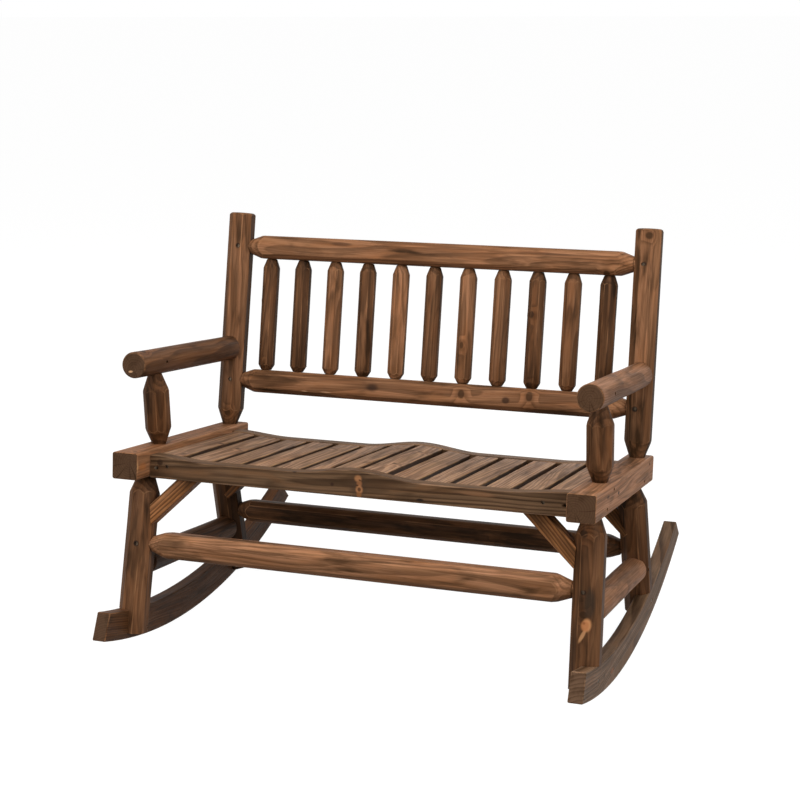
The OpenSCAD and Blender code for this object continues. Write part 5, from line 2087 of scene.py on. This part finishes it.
@dataclass
class Rockers(SubAssembly):
    """The two rockers, sawn from planks between two arcs."""

    slot: str = "sawn_wood"
    # The left rocker's deeper finish is painted shade on its inner face, which lies in shade under the bench
    left_wood: TorchedFir | None = None
    front: float = 76
    front_cut: float = 21
    rear: float = 1020
    rear_cut: float = 53
    bevel: float = 2
    # An amber streak and a knot on the right rocker's outer face
    right_spots: Spots = (
        ((592, 216, -445), (6, 20, 9), "#84563a", 0.7), ((592, 130, -436), (6, 14, 8), "#3a2c20", 0.6))

    def build(self) -> None:
        """Saw, bevel and bore each rocker."""
        for side in Side:
            self.rocker(side)

    def rocker(self, side: Side) -> Piece:
        """Build a rocker: a disc less a larger disc, with its two ends sawn off.

        Args:
            side: Left or right.

        Returns:
            The rocker.
        """
        plan = self.plan
        low = min(side.value * plan.lap_x, side.value * (plan.lap_x + plan.rocker_t))
        plank = round_bar((low, *plan.rocker_centre), (1, 0, 0), plan.rocker_r, plan.rocker_t, ARC_SIDES)
        hollow = round_bar((low - 5, *plan.rocker_top_centre), (1, 0, 0), plan.rocker_top_r,
                           plan.rocker_t + 10, ARC_SIDES)
        with editing(plank):
            slice_off((0, 0, plan.rocker_centre[1] - 1000), UP)
        cut_away(plank, [hollow])
        with editing(plank):
            for y, slant, way in ((-self.front, self.front_cut, -1), (self.rear, self.rear_cut, 1)):
                angle = math.radians(slant)
                slice_off((0, y, plan.rocker_edge(y, False)), (0, way * math.cos(angle), math.sin(angle)))
            bpy.ops.mesh.select_all(action="SELECT")
            bpy.ops.mesh.remove_doubles(threshold=0.2)
        ease_edges(plank, self.bevel, 40)
        name = f"{side.label}_rocker"
        at = (Matrix.Translation((side.value * (plan.lap_x + plan.rocker_t / 2), 480, -470))
              @ turned(-84, "X"))
        # The left rocker's low tone is painted shade on its inner face, in shade under the bench
        growth = (Growth((24, 52), (0, 20), 0.42, 0.1) if side is Side.LEFT
                  else Growth((30, 48), (0, -30), 0.92))
        timber = Timber(name, plank, at, growth, flats=(0.1, 0.0, 0.05, 0.0, 0.1, 0.0, 0.05, 0.0),
                        sweep=(*plan.rocker_centre, plan.rocker_r))
        bores = [bore for row in Row for bore in (JOINERY.rocker_bolt(row), JOINERY.rocker_nail(row))]
        timber.bore(bores, side)
        marks = [Mark(*spot) for spot in self.right_spots] if side is Side.RIGHT else ()
        return self.finish(timber, marks, wood=self.left_wood if side is Side.LEFT else None)


@dataclass
class Fasteners:
    """The steel screws, bolts and nails, which keep their modelled shapes."""

    steel: ZincSteel
    # Its dark plating paints the shade deep in the counterbores
    stained_steel: ZincSteel
    bright: tuple[str, ...] = ("rocker_bolts", "rocker_nails")
    nodes: tuple[str, ...] = ("tenon_pins", "rail_screws", "brace_screws", "slat_screws", "armrest_bolts",
                              "rocker_bolts", "rocker_nails")

    def build(self) -> None:
        """Give the steel pieces their plating."""
        clean, stained = self.steel.material(), self.stained_steel.material()
        for name in self.nodes:
            node = bpy.data.objects[name]
            plating = clean if name in self.bright else stained
            for slot in node.material_slots:
                slot.material = plating
            LOG.info("%s: plated", name)


@dataclass
class Studio:
    """A pale floor, soft lamps and the camera."""

    # Seen from the seat's frame: place in millimetres, angles in radians
    eye: Point = (1380.1, -3596.9, 649.3)
    turn: float = 0.334227
    down: float = 0.124035
    roll: float = 0.032183
    sensor: float = 36
    lens: float = 77.779
    floor_colour: str = "#646361"
    floor_lift: float = 0.98
    floor_size: float = 60
    room_light: float = 0.05
    # Each lamp's name, place and aim in metres, size and watts
    lamps: tuple[tuple[str, Point, Point, float, float], ...] = (
        ("overhead", (0.3, -1.2, 3.6), (0, 0, 0.4), 2.4, 112),
        ("front_left", (-2.6, -4.0, 2.4), (0, 0, 0.5), 2.2, 105),
        ("behind", (0.6, 3.9, 2.4), (0, 0, 0.5), 2.6, 48),
        ("front_right", (4.0, -2.2, 2.2), (0, 0, 0.5), 2.2, 112))

    def camera(self) -> None:
        """Stand the camera where the bench is seen from the front and a little from the right."""
        sight = Vector((-math.sin(self.turn) * math.cos(self.down), math.cos(self.turn) * math.cos(self.down),
                        -math.sin(self.down)))
        right = sight.cross(UP).normalized()
        up = right.cross(sight)
        tilted_right = math.cos(self.roll) * right + math.sin(self.roll) * up
        tilted_up = -math.sin(self.roll) * right + math.cos(self.roll) * up
        axes = Matrix((tilted_right, tilted_up, -sight)).transposed()
        turn = turned(-PLAN.rest_tilt, "X", 3)
        data = bpy.data.cameras.new("camera")
        data.sensor_width, data.lens = self.sensor, self.lens
        camera = bpy.data.objects.new("camera", data)
        camera.matrix_world = Matrix.Translation(AT_REST @ Vector(self.eye)) @ (turn @ axes).to_4x4()
        bpy.context.collection.objects.link(camera)
        bpy.context.scene.camera = camera

    def lamp(self, name: str, place: Point, aim: Point, size: float, watts: float) -> None:
        """Hang a square soft lamp.

        Args:
            name: The lamp's name.
            place: Its place in metres.
            aim: The point that it faces.
            size: Side of its square in metres.
            watts: Its power.
        """
        data = bpy.data.lights.new(name, "AREA")
        data.size, data.energy = size, watts
        lamp = bpy.data.objects.new(name, data)
        lamp.location = place
        lamp.rotation_euler = (Vector(aim) - Vector(place)).to_track_quat("-Z", "Y").to_euler()
        bpy.context.collection.objects.link(lamp)

    def seen(self, node: NodeMaker, share: float) -> bpy.types.Node:
        """Give a share to rays that look at a thing straight, in a mirror or through glass.

        Args:
            node: Adds a node to the tree.
            share: What those rays get; all others get 0.

        Returns:
            The node with the share.
        """
        rays = node("LightPath").outputs
        looks = rays["Is Camera Ray"]
        for way in ("Is Glossy Ray", "Is Transmission Ray"):
            looks = node("Math", {0: looks, 1: rays[way]}, operation="MAXIMUM")
        return node("Math", {0: looks, 1: share}, operation="MULTIPLY")

    def surroundings(self) -> None:
        """Lay the floor and light the room evenly."""
        world = bpy.context.scene.world or bpy.data.worlds.new("room")
        bpy.context.scene.world = world
        node = clear_nodes(world)
        strength = node("Math", {0: self.seen(node, 1 - self.room_light), 1: self.room_light},
                        operation="ADD")
        air = node("Background", {0: WHITE, 1: strength})
        node("OutputWorld", {0: air})
        bpy.ops.mesh.primitive_plane_add(size=self.floor_size, location=(0, 0, 0))
        floor = bpy.context.object
        floor.name = "floor"
        material = bpy.data.materials.new("painted_floor")
        node = clear_nodes(material)
        paint = node("BsdfPrincipled", {"Base Color": linear(self.floor_colour), "Roughness": 0.9,
                                        "Specular IOR Level": 0.0})
        # The eye sees the paint brighter than it lights the bench, so that it runs into the white room
        glow = node("Emission", {0: WHITE, 1: self.seen(node, self.floor_lift)})
        both = node("AddShader", {0: paint, 1: glow})
        node("OutputMaterial", {0: both})
        floor.data.materials.append(material)

    def build(self) -> None:
        """Set up the camera, room and lamps."""
        bpy.context.scene.view_settings.view_transform = "Standard"
        self.camera()
        self.surroundings()
        for lamp in self.lamps:
            self.lamp(*lamp)


def main() -> None:
    """Build the bench and its studio, one sub-assembly after another."""
    logging.basicConfig(level=logging.INFO, format="%(name)s %(message)s")
    logs = TorchedFir("torched_fir_log")
    planks = TorchedFir("torched_fir_plank", brown="#66503d", pale="#8a694e", amber="#825a3b",
                        rubbed="#95745a", end_brown="#5f4735", worn=0.6, knots=0.0, ring=8.0,
                        ring_strength=0.75, cloud=0.45, bands=0.3)
    slats = TorchedFir("torched_fir_slat", brown="#765842", pale="#b08a6b", amber="#8f6546",
                       scorched="#38261a", rubbed="#a8835f", worn=0.6, knots=0.1, ring_strength=0.55,
                       cloud=0.45, bands=0.4)
    braces = TorchedFir("torched_fir_brace", brown="#744629", pale="#a26f46", amber="#935c30", knots=0.0,
                        ring=7.0, ring_strength=0.75, cloud=0.3)
    bright = ZincSteel()
    # Dark plating for the screw and pin heads: painted shade, as they sit deep in their counterbores
    stained = ZincSteel("stained_zinc_plated_steel", "#5c4e40", "#2b251f")
    seat_frame = SeatFrame(planks, beams=logs)
    for part in (seat_frame, SeatSlats(slats, seat_frame=seat_frame), Back(logs), Arms(logs),
                 Base(logs, braces=braces), Rockers(planks, left_wood=logs), Fasteners(bright, stained),
                 Studio()):
        part.build()


if __name__ == "__main__":
    main()
